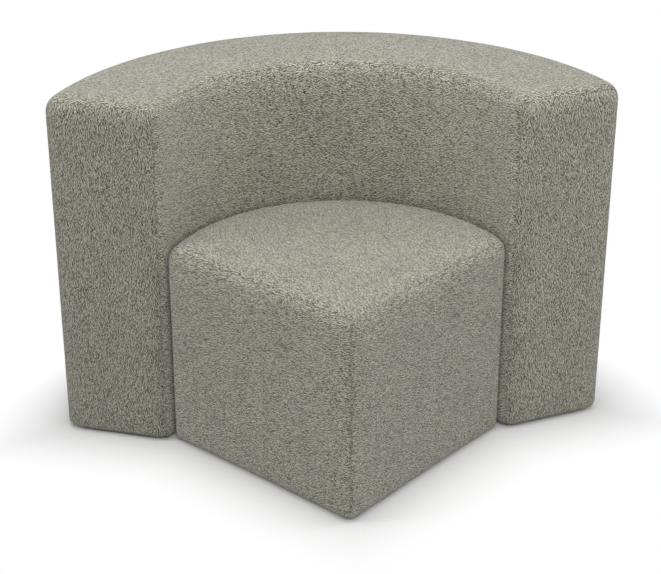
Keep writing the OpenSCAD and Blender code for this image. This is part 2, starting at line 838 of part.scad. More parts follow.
// Webbing, woven over and under: row j runs along one side and passes over every other cross strap
function strap_at(j) = strap_first + strap_pitch * j;
function strap_reach(j) =
    let (off = max(abs(strap_at(j) - strap_w / 2 - seat_frame_reach),
                   abs(strap_at(j) + strap_w / 2 - seat_frame_reach)))
    seat_frame_reach + sqrt(pow(seat_frame_r - strap_end_inset, 2) - off * off);
function strap_path(j, parity) =
    let (half = strap_w / 2 + strap_level)
    concat(
        [[strap_end_inset, 0], [strap_at(0) - half - strap_ramp, 0]],
        [for (i = [0 : strap_n - 1])
            let (z = ((i + j + parity) % 2 == 0 ? 1 : -1) * weave_lift)
            each [[strap_at(i) - half, z], [strap_at(i) + half, z]]],
        [[strap_at(strap_n - 1) + half + strap_ramp, 0], [strap_reach(j), 0]]);
module strap(j, parity) {
    path = strap_path(j, parity);
    color(webbing_colour)
        mirror([parity, 0, 0])
            translate([0, -seat_frame_reach / sin(45), deck_top + strap_t / 2])
                rotate([0, 0, 45])
                    translate([0, strap_at(j) + strap_w / 2, 0])
                        rotate([90, 0, 0])
                            linear_extrude(strap_w)
                                polygon(concat(
                                    [for (p = path) [p[0], p[1] + strap_t / 2]],
                                    reversed([for (p = path) [p[0], p[1] - strap_t / 2]])));
}

// Felt and foam of the seat

module seat_felt() {
    color(felt_colour)
        translate([0, 0, felt_z])
            linear_extrude(felt_t)
                frame_plan(felt_inset);
}
module seat_firm_foam() {
    color(foam_colour)
        translate([0, 0, firm_foam_z])
            linear_extrude(seat_firm_foam_t)
                polygon(seat_outline(cover_skin));
}
module seat_soft_foam() {
    color(foam_colour)
        ring_solid(
            concat([seat_ring(cover_skin, soft_foam_z)], seat_crown_rings(cover_skin, edge_angles)),
            [0, seat_mid_y, soft_foam_z], seat_tip(cover_skin), true);
}
module seat_wall_foam() {
    translate([0, 0, foam_z0])
        linear_extrude(firm_foam_z - foam_z0)
            intersection() {
                difference() {
                    polygon(seat_outline(cover_skin));
                    frame_plan(0);
                }
                children();
            }
}
module seat_side_foam(side) {
    color(foam_colour)
        seat_wall_foam()
            difference() {
                half_plane(side);
                rear_sector();
            }
}
module seat_rear_foam() {
    color(foam_colour) seat_wall_foam() rear_sector();
}

// Covers of the seat

module seat_wall_cover(from, to) {
    color(fabric_colour)
        open_sheet(columns(seat_walls(0), from, to), columns(seat_walls(cover_t), from, to), true);
}
module seat_top_cover() {
    color(fabric_colour)
        domed_sheet(seat_crown_rings(0, top_angles), seat_crown_rings(cover_t, top_angles),
            seat_tip(0), seat_tip(cover_t), true);
}
module seat_dust_cover() {
    color(nylon_colour)
        translate([0, 0, floor_gap - dust_cover_t])
            linear_extrude(dust_cover_t)
                difference() {
                    seat_plan(dust_cover_inset, dust_cover_inset);
                    each_seat_glide() circle(r = glide_r + glide_air);
                    plate_plan(glide_air);
                }
}
module seat_glides() {
    color(nylon_colour) each_seat_glide() glide();
}
module seat_glide_screws() {
    color(steel_colour)
        each_seat_glide() translate([0, 0, glide_screw_z]) screw(base_screw_l);
}

// Flat plates under the frames that hold the two units together

module joining_plates() {
    color(steel_colour)
        difference() {
            translate([0, 0, plate_z]) linear_extrude(plate_t) plate_plan(0);
            each_plate_screw() screw_hole(base_screw_l);
        }
}
module joining_screws() {
    color(steel_colour) each_plate_screw() screw(base_screw_l);
}

set_in_frame() back_base_former();
set_in_frame() back_mid_former();
set_in_frame() back_top_former();
for (k = [0 : 4])
    set_in_frame() back_rib(k);
set_in_frame() back_end_board(-1);  // back_end_board_left
set_in_frame() back_end_board(1);  // back_end_board_right
set_in_frame() back_inner_skin();
set_in_frame() back_outer_skin();
set_in_frame() end_board_screws();
set_in_frame() back_inner_foam();
set_in_frame() back_outer_foam();
set_in_frame() back_top_foam();
set_in_frame() back_end_foam(-1);  // back_end_foam_left
set_in_frame() back_end_foam(1);  // back_end_foam_right
set_in_frame() back_inner_cover();
set_in_frame() back_outer_cover();
set_in_frame() back_top_cover();
set_in_frame() back_end_cover(-1);  // back_end_cover_left
set_in_frame() back_end_cover(1);  // back_end_cover_right
set_in_frame() back_dust_cover();
set_in_frame() back_glides();
set_in_frame() back_glide_screws();
set_in_frame() seat_base_ring();
set_in_frame() seat_deck_ring();
set_in_frame() seat_side_board(-1);  // seat_side_board_left
set_in_frame() seat_side_board(1);  // seat_side_board_right
set_in_frame() seat_rear_board();
set_in_frame() seat_front_block();
set_in_frame() seat_side_block(-1);  // seat_side_block_left
set_in_frame() seat_side_block(1);  // seat_side_block_right
set_in_frame() seat_centre_rail();
for (j = [0 : strap_n - 1]) {
    set_in_frame() strap(j, 0);
    set_in_frame() strap(j, 1);
}
set_in_frame() seat_felt();
set_in_frame() seat_firm_foam();
set_in_frame() seat_soft_foam();
set_in_frame() seat_side_foam(-1);  // seat_side_foam_left
set_in_frame() seat_side_foam(1);  // seat_side_foam_right
set_in_frame() seat_rear_foam();
set_in_frame() seat_top_cover();
set_in_frame() seat_wall_cover(0, side_seam);  // seat_side_cover_right
set_in_frame() seat_wall_cover(outline_n - side_seam, outline_n);  // seat_side_cover_left
set_in_frame() seat_wall_cover(side_seam, outline_n - side_seam);  // seat_rear_cover
set_in_frame() seat_dust_cover();
set_in_frame() seat_glides();
set_in_frame() seat_glide_screws();
set_in_frame() joining_plates();
set_in_frame() joining_screws();
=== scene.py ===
"""Corner lounge seat with a curved back: its upholstery, its finishes and its stage.

Lengths are in metres. The covers, foams, webbing, dust cloths, stitches and staples are modelled
here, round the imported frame. The frame's boards, blocks, screws, plates and glides get their
finishes.
"""

import math

import bmesh
import bpy
import numpy as np
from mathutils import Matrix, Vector, geometry, noise


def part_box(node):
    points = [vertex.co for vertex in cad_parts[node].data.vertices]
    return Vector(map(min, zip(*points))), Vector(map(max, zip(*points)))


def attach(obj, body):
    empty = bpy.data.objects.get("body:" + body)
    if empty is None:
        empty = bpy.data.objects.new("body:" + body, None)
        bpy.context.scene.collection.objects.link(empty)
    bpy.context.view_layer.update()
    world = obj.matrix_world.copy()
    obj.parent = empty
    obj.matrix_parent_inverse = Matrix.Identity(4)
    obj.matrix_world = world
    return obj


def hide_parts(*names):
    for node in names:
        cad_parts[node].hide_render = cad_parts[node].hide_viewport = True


bl_info = {
    "name": "Corner lounge seat",
    "version": (1, 0, 0),
    "blender": (4, 5, 0),
    "location": "3D View > Sidebar > Lounge seat",
    "description": "Makes the covers, foams, cloths and hardware of a corner lounge seat",
    "category": "Object",
}

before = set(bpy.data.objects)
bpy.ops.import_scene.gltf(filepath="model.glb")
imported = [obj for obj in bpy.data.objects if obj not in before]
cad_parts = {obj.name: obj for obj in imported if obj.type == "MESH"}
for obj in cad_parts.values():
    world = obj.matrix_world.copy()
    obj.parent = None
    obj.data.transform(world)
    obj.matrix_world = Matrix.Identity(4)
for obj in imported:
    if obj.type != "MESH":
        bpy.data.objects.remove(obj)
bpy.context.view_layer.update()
BODY = "root"
BACK_LOW, BACK_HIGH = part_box("back_outer_cover")
MM = 0.001
QUARTER = math.pi / 2
EIGHTH = math.pi / 4
UP = np.array([0.0, 0.0, 1.0])
MIRROR = np.array([-1.0, 1.0])
WHITE = (1.0, 1.0, 1.0)


# Sizes and colours that a user would change


def number(name, description, default, low=0.0, high=1.0, **kind):
    """A property that holds a number."""
    return bpy.props.FloatProperty(
        name=name, description=description, default=default, min=low, max=high, **kind
    )


def share(name, description, default, high=1.0):
    """A property that holds a plain factor."""
    return number(name, description, default, high=high, subtype="FACTOR")


def length(name, description, default):
    """A property that holds a length."""
    kind = {"subtype": "DISTANCE", "unit": "LENGTH", "precision": 4}
    return number(name, description, default, high=2.0, **kind)


def angle(name, description, degrees, low=-QUARTER):
    """A property that holds an angle."""
    kind = {"subtype": "ANGLE", "unit": "ROTATION"}
    return number(name, description, math.radians(degrees), low, QUARTER, **kind)


def colour(name, description, default):
    """A property that holds a linear colour."""
    return bpy.props.FloatVectorProperty(
        name=name, description=description, default=default, min=0.0, max=1.0, subtype="COLOR"
    )


class BackSizes(bpy.types.PropertyGroup):
    """Sizes of the curved back."""

    inner_radius: length("Inner radius", "Radius of the inside face about the arc centre", 0.370)
    thickness: length("Thickness", "Thickness of the upholstered wall", 0.238)
    half_sweep: angle("Half sweep", "Half of the angle that the wall wraps round", 71.6, low=0.5)
    height: length("Height", "Height of the crown of the top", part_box("back_top_cover")[1].z)
    edge_radius: length("Edge radius", "Radius of the soft edges", 0.035)
    crown: length("Crown", "Rise of the top face between its edges", 0.003)


class SeatSizes(bpy.types.PropertyGroup):
    """Sizes of the wedge-shaped seat."""

    depth: length("Depth", "From the sharp front corner to the middle of the rear", 0.583)
    gap: length("Gap", "Gap between the rear of the seat and the inside of the back", 0.003)
    height: length("Height", "Height of the crown of the seat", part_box("seat_top_cover")[1].z)
    edge_radius: length("Edge radius", "Radius of the soft edges round the top", 0.036)
    front_corner_radius: length("Front corner", "Radius of the upright front corner", 0.022)
    side_corner_radius: length("Side corners", "Radius of the upright side corners", 0.029)
    crown: length("Crown", "Rise of the middle of the seat", 0.006)
    draw: length("Draw", "How far each straight side draws in between its corners", 0.002)


class CoverLook(bpy.types.PropertyGroup):
    """Make-up of the woven cover."""

    thickness: length("Thickness", "Thickness of the cloth with its backing", 0.002)
    base_radius: length("Base radius", "Radius where the covers turn under", 0.014)
    hem_reach: length("Hem reach", "Reach of a hem under the frame", 0.031)
    swell: length("Swell", "Most that a panel swells between its seams", 0.0024)
    draw_in: length("Draw in", "How far the seams draw the cloth in", 0.0003)
    seam_depth: length("Seam depth", "Depth of the groove at an open seam", 0.0013)
    # The shade at a seam is painted shade in its groove.
    closed_seam: share("Closed seams", "Share of that depth and shade at other seams", 0.32)
    seam_width: length("Seam width", "Half width of the groove at a seam", 0.0015)
    pucker: length("Pucker", "Waviness of the cloth beside a seam", 0.0005)
    yarn_pitch: length("Yarn pitch", "Distance from one yarn to the next", 0.0013)
    counterchange: share("Counterchange", "How much darker the yarns beside a pale one are", 0.22)
    yarn_contrast: share("Yarn contrast", "Factor on the difference between yarns", 1.78, 3.0)
    float_length: length("Float length", "Length of a yarn on top of the weave", 0.0025)
    pale_yarn: colour("Pale yarn", "Colour of the palest yarns", (0.72, 0.70, 0.60))
    main_yarn: colour("Main yarn", "Colour of most yarns", (0.316, 0.305, 0.236))
    dark_yarn: colour("Dark yarn", "Colour of the darkest yarns", (0.035, 0.031, 0.015))


class StageLook(bpy.types.PropertyGroup):
    """Camera and lights."""

    camera_place: bpy.props.FloatVectorProperty(
        name="Camera place", description="Where the camera stands", subtype="TRANSLATION",
        unit="LENGTH", default=(-0.2332, -3.1307, 1.8351),
    )
    lens: number("Lens", "Focal length", 91.836, high=500.0, subtype="DISTANCE_CAMERA")
    pitch: angle("Pitch", "Downward tilt of the camera", 25.891)
    yaw: angle("Yaw", "Turn of the camera towards +X", 4.09)
    world: share("World light", "Strength of the light from all round", 0.16, 5.0)
    lights: share("Lights", "Factor on the power of all lamps", 1.0, 10.0)
    floor_shade: share("Floor shade", "Reflectance of the floor that the camera sees", 0.94)
    shadow_reach: length("Shadow reach", "Distance at which the floor is plain white", 0.155)
    floor_bounce: share("Floor bounce", "Reflectance of the floor that the piece sees", 0.38)


# Shader maths as Python expressions


def maths(operation, backwards=False):
    """A method of Wire that adds one Math node."""

    def method(wire, other=None):
        pair = (other, wire) if backwards else (wire, other)
        settings = {"operation": operation}
        return wire.maker.node("ShaderNodeMath", settings, dict(enumerate(pair)))[0]

    return method


class Wire:
    """One output of a node, with the operators that the materials use."""

    def __init__(self, maker, socket):
        self.maker = maker
        self.socket = socket

    __add__, __radd__ = maths("ADD"), maths("ADD", True)
    __sub__, __rsub__ = maths("SUBTRACT"), maths("SUBTRACT", True)
    __mul__, __rmul__ = maths("MULTIPLY"), maths("MULTIPLY", True)
    __truediv__, __rtruediv__ = maths("DIVIDE"), maths("DIVIDE", True)
    __pow__ = maths("POWER")
    floor, fraction, size = maths("FLOOR"), maths("FRACT"), maths("ABSOLUTE")
    above, least, most = maths("GREATER_THAN"), maths("MINIMUM"), maths("MAXIMUM")

    def ridge(self):
        """0 at each whole number, and 1 midway between them."""
        return 1.0 - (self.fraction() * 2.0 - 1.0) ** 2.0

    def between(self, low, high, kind="LINEAR"):
        """0 below low, 1 above high, and even between."""
        sockets = {"Value": self, "From Min": low, "From Max": high}
        settings = {"interpolation_type": kind}
        return self.maker.node("ShaderNodeMapRange", settings, sockets)["Result"]

    def smooth(self, low, high):
        """0 below low, 1 above high, and smooth between."""
        return self.between(low, high, "SMOOTHSTEP")


class Maker:
    """Adds nodes to a tree and joins them."""

    def __init__(self, tree):
        self.tree = tree

    def feed(self, socket, value):
        """Joins a wire to a socket, or gives the socket a value."""
        if isinstance(value, Wire):
            self.tree.links.new(value.socket, socket)
        elif socket.type == "RGBA":
            socket.default_value = (*value, 1.0)
        else:
            socket.default_value = value

    def node(self, kind, settings=None, sockets=None):
        """Adds a node, with its settings first and then the values or wires of its sockets."""
        made = self.tree.nodes.new(kind)
        for key, value in (settings or {}).items():
            if key == "stops":
                self.set_stops(made.color_ramp, value)
            else:
                setattr(made, key, value)
        for key, value in (sockets or {}).items():
            if value is not None:
                self.feed(made.inputs[key], value)
        wires = {k: Wire(self, s) for k, s in enumerate(made.outputs)}
        return {**wires, **{s.name: Wire(self, s) for s in made.outputs if s.enabled}}

    def set_stops(self, ramp, stops):
        """Gives a colour ramp its places and colours."""
        while len(ramp.elements) < len(stops):
            ramp.elements.new(0.5)
        for element, (place, tint) in zip(ramp.elements, stops):
            element.position = place
            element.color = (*tint, 1.0)

    def split(self, vector):
        """X, Y and Z of a vector."""
        parts = self.node("ShaderNodeSeparateXYZ", None, {0: vector})
        return parts["X"], parts["Y"], parts["Z"]

    def join(self, x=0.0, y=0.0, z=0.0):
        """A vector from three numbers."""
        return self.node("ShaderNodeCombineXYZ", None, {0: x, 1: y, 2: z})["Vector"]

    def show(self, lit, seen, output):
        """Shows one shader to camera, glossy and transmission rays, and the lit one to others."""
        path = self.node("ShaderNodeLightPath")
        ray = path["Is Camera Ray"].most(path["Is Glossy Ray"]).most(path["Is Transmission Ray"])
        chosen = self.node("ShaderNodeMixShader", None, {0: ray, 1: lit[0], 2: seen[0]})
        self.feed(self.tree.nodes[output].inputs["Surface"], chosen[0])


class Finish(Maker):
    """A material under construction."""

    def __init__(self, name):
        self.material = bpy.data.materials.new(name)
        self.material.use_nodes = True
        super().__init__(self.material.node_tree)
        self.shader = self.tree.nodes["Principled BSDF"]

    def mix(self, amount, first, second, blend="MIX"):
        """A colour between two colours."""
        settings = {"data_type": "RGBA", "blend_type": blend}
        return self.node("ShaderNodeMix", settings, {"Factor": amount, 6: first, 7: second})[2]

    def tint(self, first, second):
        """The product of two colours."""
        return self.mix(1.0, first, second, "MULTIPLY")

    def grey(self, value):
        """A number as a grey colour."""
        return self.node("ShaderNodeCombineColor", None, {0: value, 1: value, 2: value})["Color"]

    def place(self):
        """Position on the piece, in metres."""
        return self.node("ShaderNodeTexCoord")["Object"]

    def attribute(self, name):
        """A number that each point of the piece holds."""
        return self.node("ShaderNodeAttribute", {"attribute_name": name})["Fac"]

    def noise(self, vector, scale, detail=2.0, roughness=0.5):
        """Soft noise from 0 to 1."""
        sockets = {"Vector": vector, "Scale": scale, "Detail": detail, "Roughness": roughness}
        return self.node("ShaderNodeTexNoise", None, sockets)["Fac"]

    def cells(self, vector, scale, randomness=1.0):
        """Cells, with the distance from their middles and a colour of their own."""
        sockets = {"Vector": vector, "Scale": scale, "Randomness": randomness}
        return self.node("ShaderNodeTexVoronoi", {"feature": "F1"}, sockets)

    def chance(self, x, y):
        """A random number for each whole place."""
        sockets = {"Vector": self.join(x, y)}
        return self.node("ShaderNodeTexWhiteNoise", {"noise_dimensions": "2D"}, sockets)["Value"]

    def bump(self, height, distance, strength=1.0):
        """A normal from a height."""
        sockets = {"Height": height, "Distance": distance, "Strength": strength}
        return self.node("ShaderNodeBump", None, sockets)["Normal"]

    def finish(self, **sockets):
        """Gives the shader its values and returns the material."""
        for key, value in sockets.items():
            self.feed(self.shader.inputs[key.replace("_", " ")], value)
        return self.material


# Places between the darkest and the palest yarn, and the factors on the main yarn's colour there.
YARN_SHADES = ((0.25, (0.62, 0.62, 0.59)), (0.50, WHITE), (0.78, (1.42, 1.42, 1.45)))


def woven_cover(look):
    """Flecked woven upholstery cloth: each yarn float has its own shade. Its colour also carries
    painted shade at the seams, between the yarns and on two panels.
    """
    f = Finish("cover_fabric")
    uv = f.node("ShaderNodeUVMap", {"uv_map": "weave"})["UV"]
    u, v, _ = f.split(uv)
    u = u + (f.noise(uv, 110.0, 1.0) - 0.5) * (0.6 * MM)
    v = v + (f.noise(uv, 40.0, 1.0) - 0.5) * (0.8 * MM)
    across = v / look.yarn_pitch
    row = across.floor()

    def float_of(line):
        along = u / look.float_length + f.chance(line, 11.0) * 9.0
        return along, f.chance(line, along.floor())

    along, yarn = float_of(row)
    beside = float_of(row - 1.0)[1] + float_of(row + 1.0)[1] - 1.0
    yarn = (yarn - 0.5 - beside * look.counterchange) * look.yarn_contrast + 0.5
    other = f.chance(along.floor() + 31.0, row + 17.0)
    round_along = 1.0 - (along.fraction() * 2.0 - 1.0).size() ** 3.0
    height = across.ridge() * (round_along * 0.5 + 0.5)
    fibre = f.noise(f.join(u * 420.0, v * 2600.0), 1.0, 2.0, 0.6)
    stops = [(0.0, tuple(look.dark_yarn)), (1.0, tuple(look.pale_yarn))]
    stops[1:1] = [(at, tuple(np.multiply(factor, look.main_yarn))) for at, factor in YARN_SHADES]
    shade = f.node("ShaderNodeValToRGB", {"stops": stops}, {"Fac": yarn})["Color"]
    warmth = f.noise(uv, 26.0).smooth(0.3, 0.7)
    shade = f.tint(shade, f.mix(warmth, (1.015, 0.994, 0.994), (0.985, 1.005, 1.0)))
    blotch = f.noise(uv, 9.0).smooth(0.25, 0.75) * 0.08 + 0.96
    # Painted shade in the groove of each seam: the colour darkens within a few millimetres of a
    # seam, most where the seam gapes.
    away = f.attribute("seam").smooth(0.5 * MM, 2.5 * MM)
    sewn = 1.0 - (1.0 - away) * (f.attribute("gape") * 0.55)
    # The height term paints shade into the valleys between yarns; the fibre, float and blotch
    # terms are the cloth's own tone.
    depth = (height * 0.42 + 0.62) * (fibre * 0.30 + 0.85) * (other * 0.16 + 0.92) * blotch
    # The base colour carries painted shade along the seams, in the valleys between yarns and on
    # two panels.
    return f.finish(
        Base_Color=f.tint(shade, f.grey(depth * sewn * f.attribute("nap"))),
        Roughness=height * -0.08 + 0.93,
        Normal=f.bump(height * 0.8 + fibre * 0.25, 0.55 * MM, 0.8),
        Sheen_Weight=0.25,
        Sheen_Roughness=0.6,
        Specular_IOR_Level=0.25,
    )


def sewing_thread():
    """Twisted thread in the shade of the cover."""
    f = Finish("sewing_thread")
    x, y, z = f.split(f.place())
    strand = ((x + y + z) * 2600.0).ridge()
    return f.finish(
        Base_Color=f.mix(strand, (0.19, 0.183, 0.15), (0.34, 0.327, 0.265)),
        Roughness=0.75,
        Normal=f.bump(strand, 0.1 * MM),
    )


def open_foam():
    """Cut polyurethane foam with open cells, a little yellowed."""
    f = Finish("open_foam")
    cells = f.cells(f.place(), 700.0)["Distance"]
    pale = f.mix(f.noise(f.place(), 8.0, 3.0), (0.84, 0.78, 0.60), (0.93, 0.89, 0.76))
    return f.finish(
        Base_Color=f.mix(cells.smooth(0.0, 0.5), f.tint(pale, (0.6, 0.56, 0.48)), pale),
        Roughness=0.95,
        Normal=f.bump(cells, 0.5 * MM),
        Subsurface_Weight=0.05,
    )


def needled_felt():
    """Grey felt of short mixed fibres."""
    f = Finish("needled_felt")
    fibre = f.noise(f.place(), 900.0, 3.0, 0.7)
    mixed = fibre * 0.6 + f.noise(f.place(), 70.0, 3.0) * 0.4
    return f.finish(
        Base_Color=f.mix(mixed, (0.34, 0.33, 0.31), (0.72, 0.70, 0.66)),
        Roughness=0.97,
        Normal=f.bump(fibre, 0.6 * MM),
    )


def dust_cloth():
    """Black non-woven cloth with a pressed dot pattern."""
    f = Finish("dust_cloth")
    x, y, _ = f.split(f.place())
    press = f.cells(f.join(x, y), 620.0, 0.15)["Distance"].smooth(0.12, 0.4)
    fibre = f.noise(f.place(), 1500.0)
    return f.finish(
        Base_Color=f.mix(press * 0.7 + fibre * 0.3, (0.014, 0.014, 0.015), (0.055, 0.055, 0.057)),
        Roughness=press * 0.25 + 0.65,
        Normal=f.bump(press + fibre * 0.4, 0.25 * MM),
    )


def elastic_webbing(name, direction):
    """Black elastic webbing, with ribs across the strap and warp yarns along it."""
    f = Finish(name)
    x, y, _ = f.split(f.place())
    a, b = direction
    rib = ((x * a + y * b) * 450.0).ridge()
    warp = ((x * -b + y * a) * 700.0).ridge()
    wear = f.noise(f.place(), 30.0, 3.0)
    return f.finish(
        Base_Color=f.mix(rib * 0.6 + wear * 0.4, (0.018, 0.018, 0.02), (0.085, 0.083, 0.08)),
        Roughness=warp * 0.15 + 0.7,
        Normal=f.bump(rib * 0.7 + warp * 0.3, 0.4 * MM),
    )


def plywood(name, axis=None, centre=None):
    """Birch plywood. Plies show on the edges: along axis, or round centre on a bent board."""
    f = Finish(name)
    x, y, z = f.split(f.place())
    nx, ny, nz = f.split(f.node("ShaderNodeNewGeometry")["Normal"])
    if centre:
        dx, dy = x - centre[0], y - centre[1]
        depth = (dx * dx + dy * dy) ** 0.5
        facing = ((nx * dx + ny * dy) / depth).size()
        along_grain = f.join(x * 200.0, y * 200.0, z * 12.0)
    else:
        a, b, c = axis
        depth = x * a + y * b + z * c
        facing = (nx * a + ny * b + nz * c).size()
        if c:
            along_grain = f.join(x * 30.0 + z * 0.5, y * 260.0, z * 30.0)
        else:
            along_grain = f.join(x * 260.0, y * 260.0, z * 14.0)
    ply = (depth / (1.4 * MM)).fraction()
    band = ply.above(0.5)
    line = 1.0 - ((ply * 2.0 - 1.0).size() * 2.0 - 1.0).size().smooth(0.8, 1.0)
    grain = f.noise(along_grain, 1.0, 4.0, 0.6)
    figure = f.noise(f.place(), 6.0, 3.0)
    face = f.mix(grain.smooth(0.3, 0.75), (0.76, 0.60, 0.40), (0.55, 0.385, 0.225))
    face = f.mix(figure * 0.35, face, (0.66, 0.48, 0.30))
    edge = f.mix(band, (0.46, 0.31, 0.17), (0.68, 0.51, 0.32))
    edge = f.tint(edge, f.grey(line * 0.35 + 0.65))
    is_face = facing.smooth(0.6, 0.75)
    return f.finish(
        Base_Color=f.mix(is_face, edge, face),
        Roughness=grain * 0.18 + 0.55,
        Normal=f.bump(grain * is_face * 0.4 + band * (1.0 - is_face) * 0.4, 0.25 * MM),
    )


def planed_beech():
    """Planed beech with short dark flecks along the grain."""
    f = Finish("planed_beech")
    x, y, z = f.split(f.place())
    grain = f.noise(f.join(x * 120.0, y * 120.0, z * 9.0), 1.0, 4.0, 0.6)
    ray = f.noise(f.join(x * 900.0, y * 900.0, z * 130.0), 1.0, 1.0).smooth(0.60, 0.72)
    base = f.mix(grain.smooth(0.3, 0.7), (0.66, 0.45, 0.28), (0.50, 0.31, 0.18))
    return f.finish(
        Base_Color=f.mix(ray * 0.6, base, (0.30, 0.165, 0.09)),
        Roughness=grain * 0.2 + 0.45,
        Normal=f.bump(grain, 0.15 * MM),
    )


def zinc_steel():
    """Bright zinc plate with faint crystals, duller in patches."""
    f = Finish("zinc_steel")
    dull = f.noise(f.place(), 45.0, 3.0)
    plate = f.mix(dull, (0.62, 0.63, 0.65), (0.78, 0.785, 0.79))
    return f.finish(
        Base_Color=f.mix(0.08, plate, f.cells(f.place(), 160.0)["Color"]),
        Metallic=1.0,
        Roughness=dull * 0.25 + 0.22,
        Normal=f.bump(f.noise(f.place(), 1400.0, 1.0), 0.05 * MM, 0.5),
    )


def moulded_nylon():
    """Black moulded nylon, scuffed on the foot."""
    f = Finish("moulded_nylon")
    foot = 1.0 - f.split(f.place())[2].smooth(0.0, 2.0 * MM)
    scuff = f.noise(f.place(), 240.0, 4.0, 0.7).smooth(0.5, 0.75) * foot
    return f.finish(
        Base_Color=f.mix(scuff, (0.017, 0.017, 0.019), (0.13, 0.13, 0.125)),
        Roughness=scuff * 0.35 + 0.42,
        Normal=f.bump(f.noise(f.place(), 1800.0), 0.08 * MM),
    )


# Surfaces as grids of points

GRID_STEP = 0.011
SEAM_STEPS = tuple(d * MM for d in (0.0, 0.8, 1.8, 3.2, 5.4, 9.0, 14.0, 20.0))
HEM_ROWS = 3
TURN_ROWS = 7


def unit(v):
    """Vectors made one long."""
    return v / np.linalg.norm(v, axis=-1, keepdims=True)


def spaced(total, step):
    """Places between 0 and total, about a step apart."""
    count = max(1, round(total / step))
    return total * np.arange(1, count) / count


def half_roll(radius):
    """Angles from a seam along the middle of a round edge to the end of the edge."""
    steps = [EIGHTH - d / radius for d in SEAM_STEPS if d < radius * EIGHTH * 0.9]
    return np.array([*steps, 0.0])


def arc(x, y, radius, turn):
    """Points round a centre."""
    return np.stack([x + radius * np.cos(turn), y + radius * np.sin(turn)], axis=-1)


def arc_centre(back):
    """The centre of the curve that the back and the seat share."""
    return np.array([0.0, BACK_HIGH.y - back.inner_radius - back.thickness, 0.0])


def running(points, axis):
    """Distance along a grid's rows or columns from its first line."""
    steps = np.linalg.norm(np.diff(points, axis=axis), axis=2)
    start = np.zeros_like(np.take(steps, [0], axis=axis))
    return np.cumsum(np.concatenate([start, steps], axis=axis), axis=axis)


def grid_faces(k):
    """Faces between the numbered points of a grid."""
    return np.stack([k[:-1, :-1], k[:-1, 1:], k[1:, 1:], k[1:, :-1]], axis=-1).reshape(-1, 4)


def face_normals(points, faces):
    """Normals of faces with three or four corners, each twice as long as the face is large."""
    corner = [points[faces[:, k]] for k in range(faces.shape[1])]
    return np.cross(corner[2] - corner[0], corner[-1] - corner[1])


class Rows:
    """Upright places on a wall: the hem, the turn at the floor, the wall and the soft edge."""

    def __init__(self, look, edge_radius, edge_z):
        foot, base = look.base_radius, BACK_LOW.z + look.base_radius
        hem = np.linspace(look.hem_reach, foot, HEM_ROWS + 1)[:-1]
        turn = np.linspace(QUARTER, 0.0, TURN_ROWS)
        wall = base + spaced(edge_z - BACK_LOW.z - foot, GRID_STEP)
        roll = half_roll(edge_radius)[::-1]
        self.inset = np.concatenate([hem, foot * (1 - np.cos(turn)), 0 * wall, 0 * roll])
        self.z = np.concatenate(
            [0 * hem + BACK_LOW.z, base - foot * np.sin(turn), wall, 0 * roll + edge_z]
        )
        self.roll = np.concatenate([0 * hem, 0 * turn, 0 * wall, roll])


class Panel:
    """A cover panel: points, faces, place on the cut cloth, distance to a seam, and held share."""

    def __init__(self, name, points, faces, weave, seam, held):
        self.name = name
        self.points = points
        self.faces = faces
        self.weave = weave
        self.seam = seam
        self.held = held
        self.gape = 0.0 * seam


def grid_panel(name, points, hem=HEM_ROWS + 1, upright=False, turned=False):
    """Panel from a grid. Its first rows are its hem, if it has one, and its other sides seams."""
    across, up = running(points, 1), running(points, 0)
    seam = np.minimum(np.minimum(across, across[:, -1:] - across), up[-1:] - up)
    held = np.zeros(across.shape)
    held[:hem] = 1.0
    if hem:
        middle = across[len(points) // 2]
        u = np.broadcast_to(middle - middle.mean(), across.shape)
        weave = np.stack([up, u] if upright else [u, up], axis=-1)
    else:
        seam = np.minimum(seam, up)
        weave = points[..., :2]
    faces = grid_faces(np.arange(seam.size).reshape(seam.shape))
    if turned:
        faces = faces[:, ::-1]
    return Panel(
        name, points.reshape(-1, 3), faces, weave.reshape(-1, 2), seam.ravel(), held.ravel()
    )


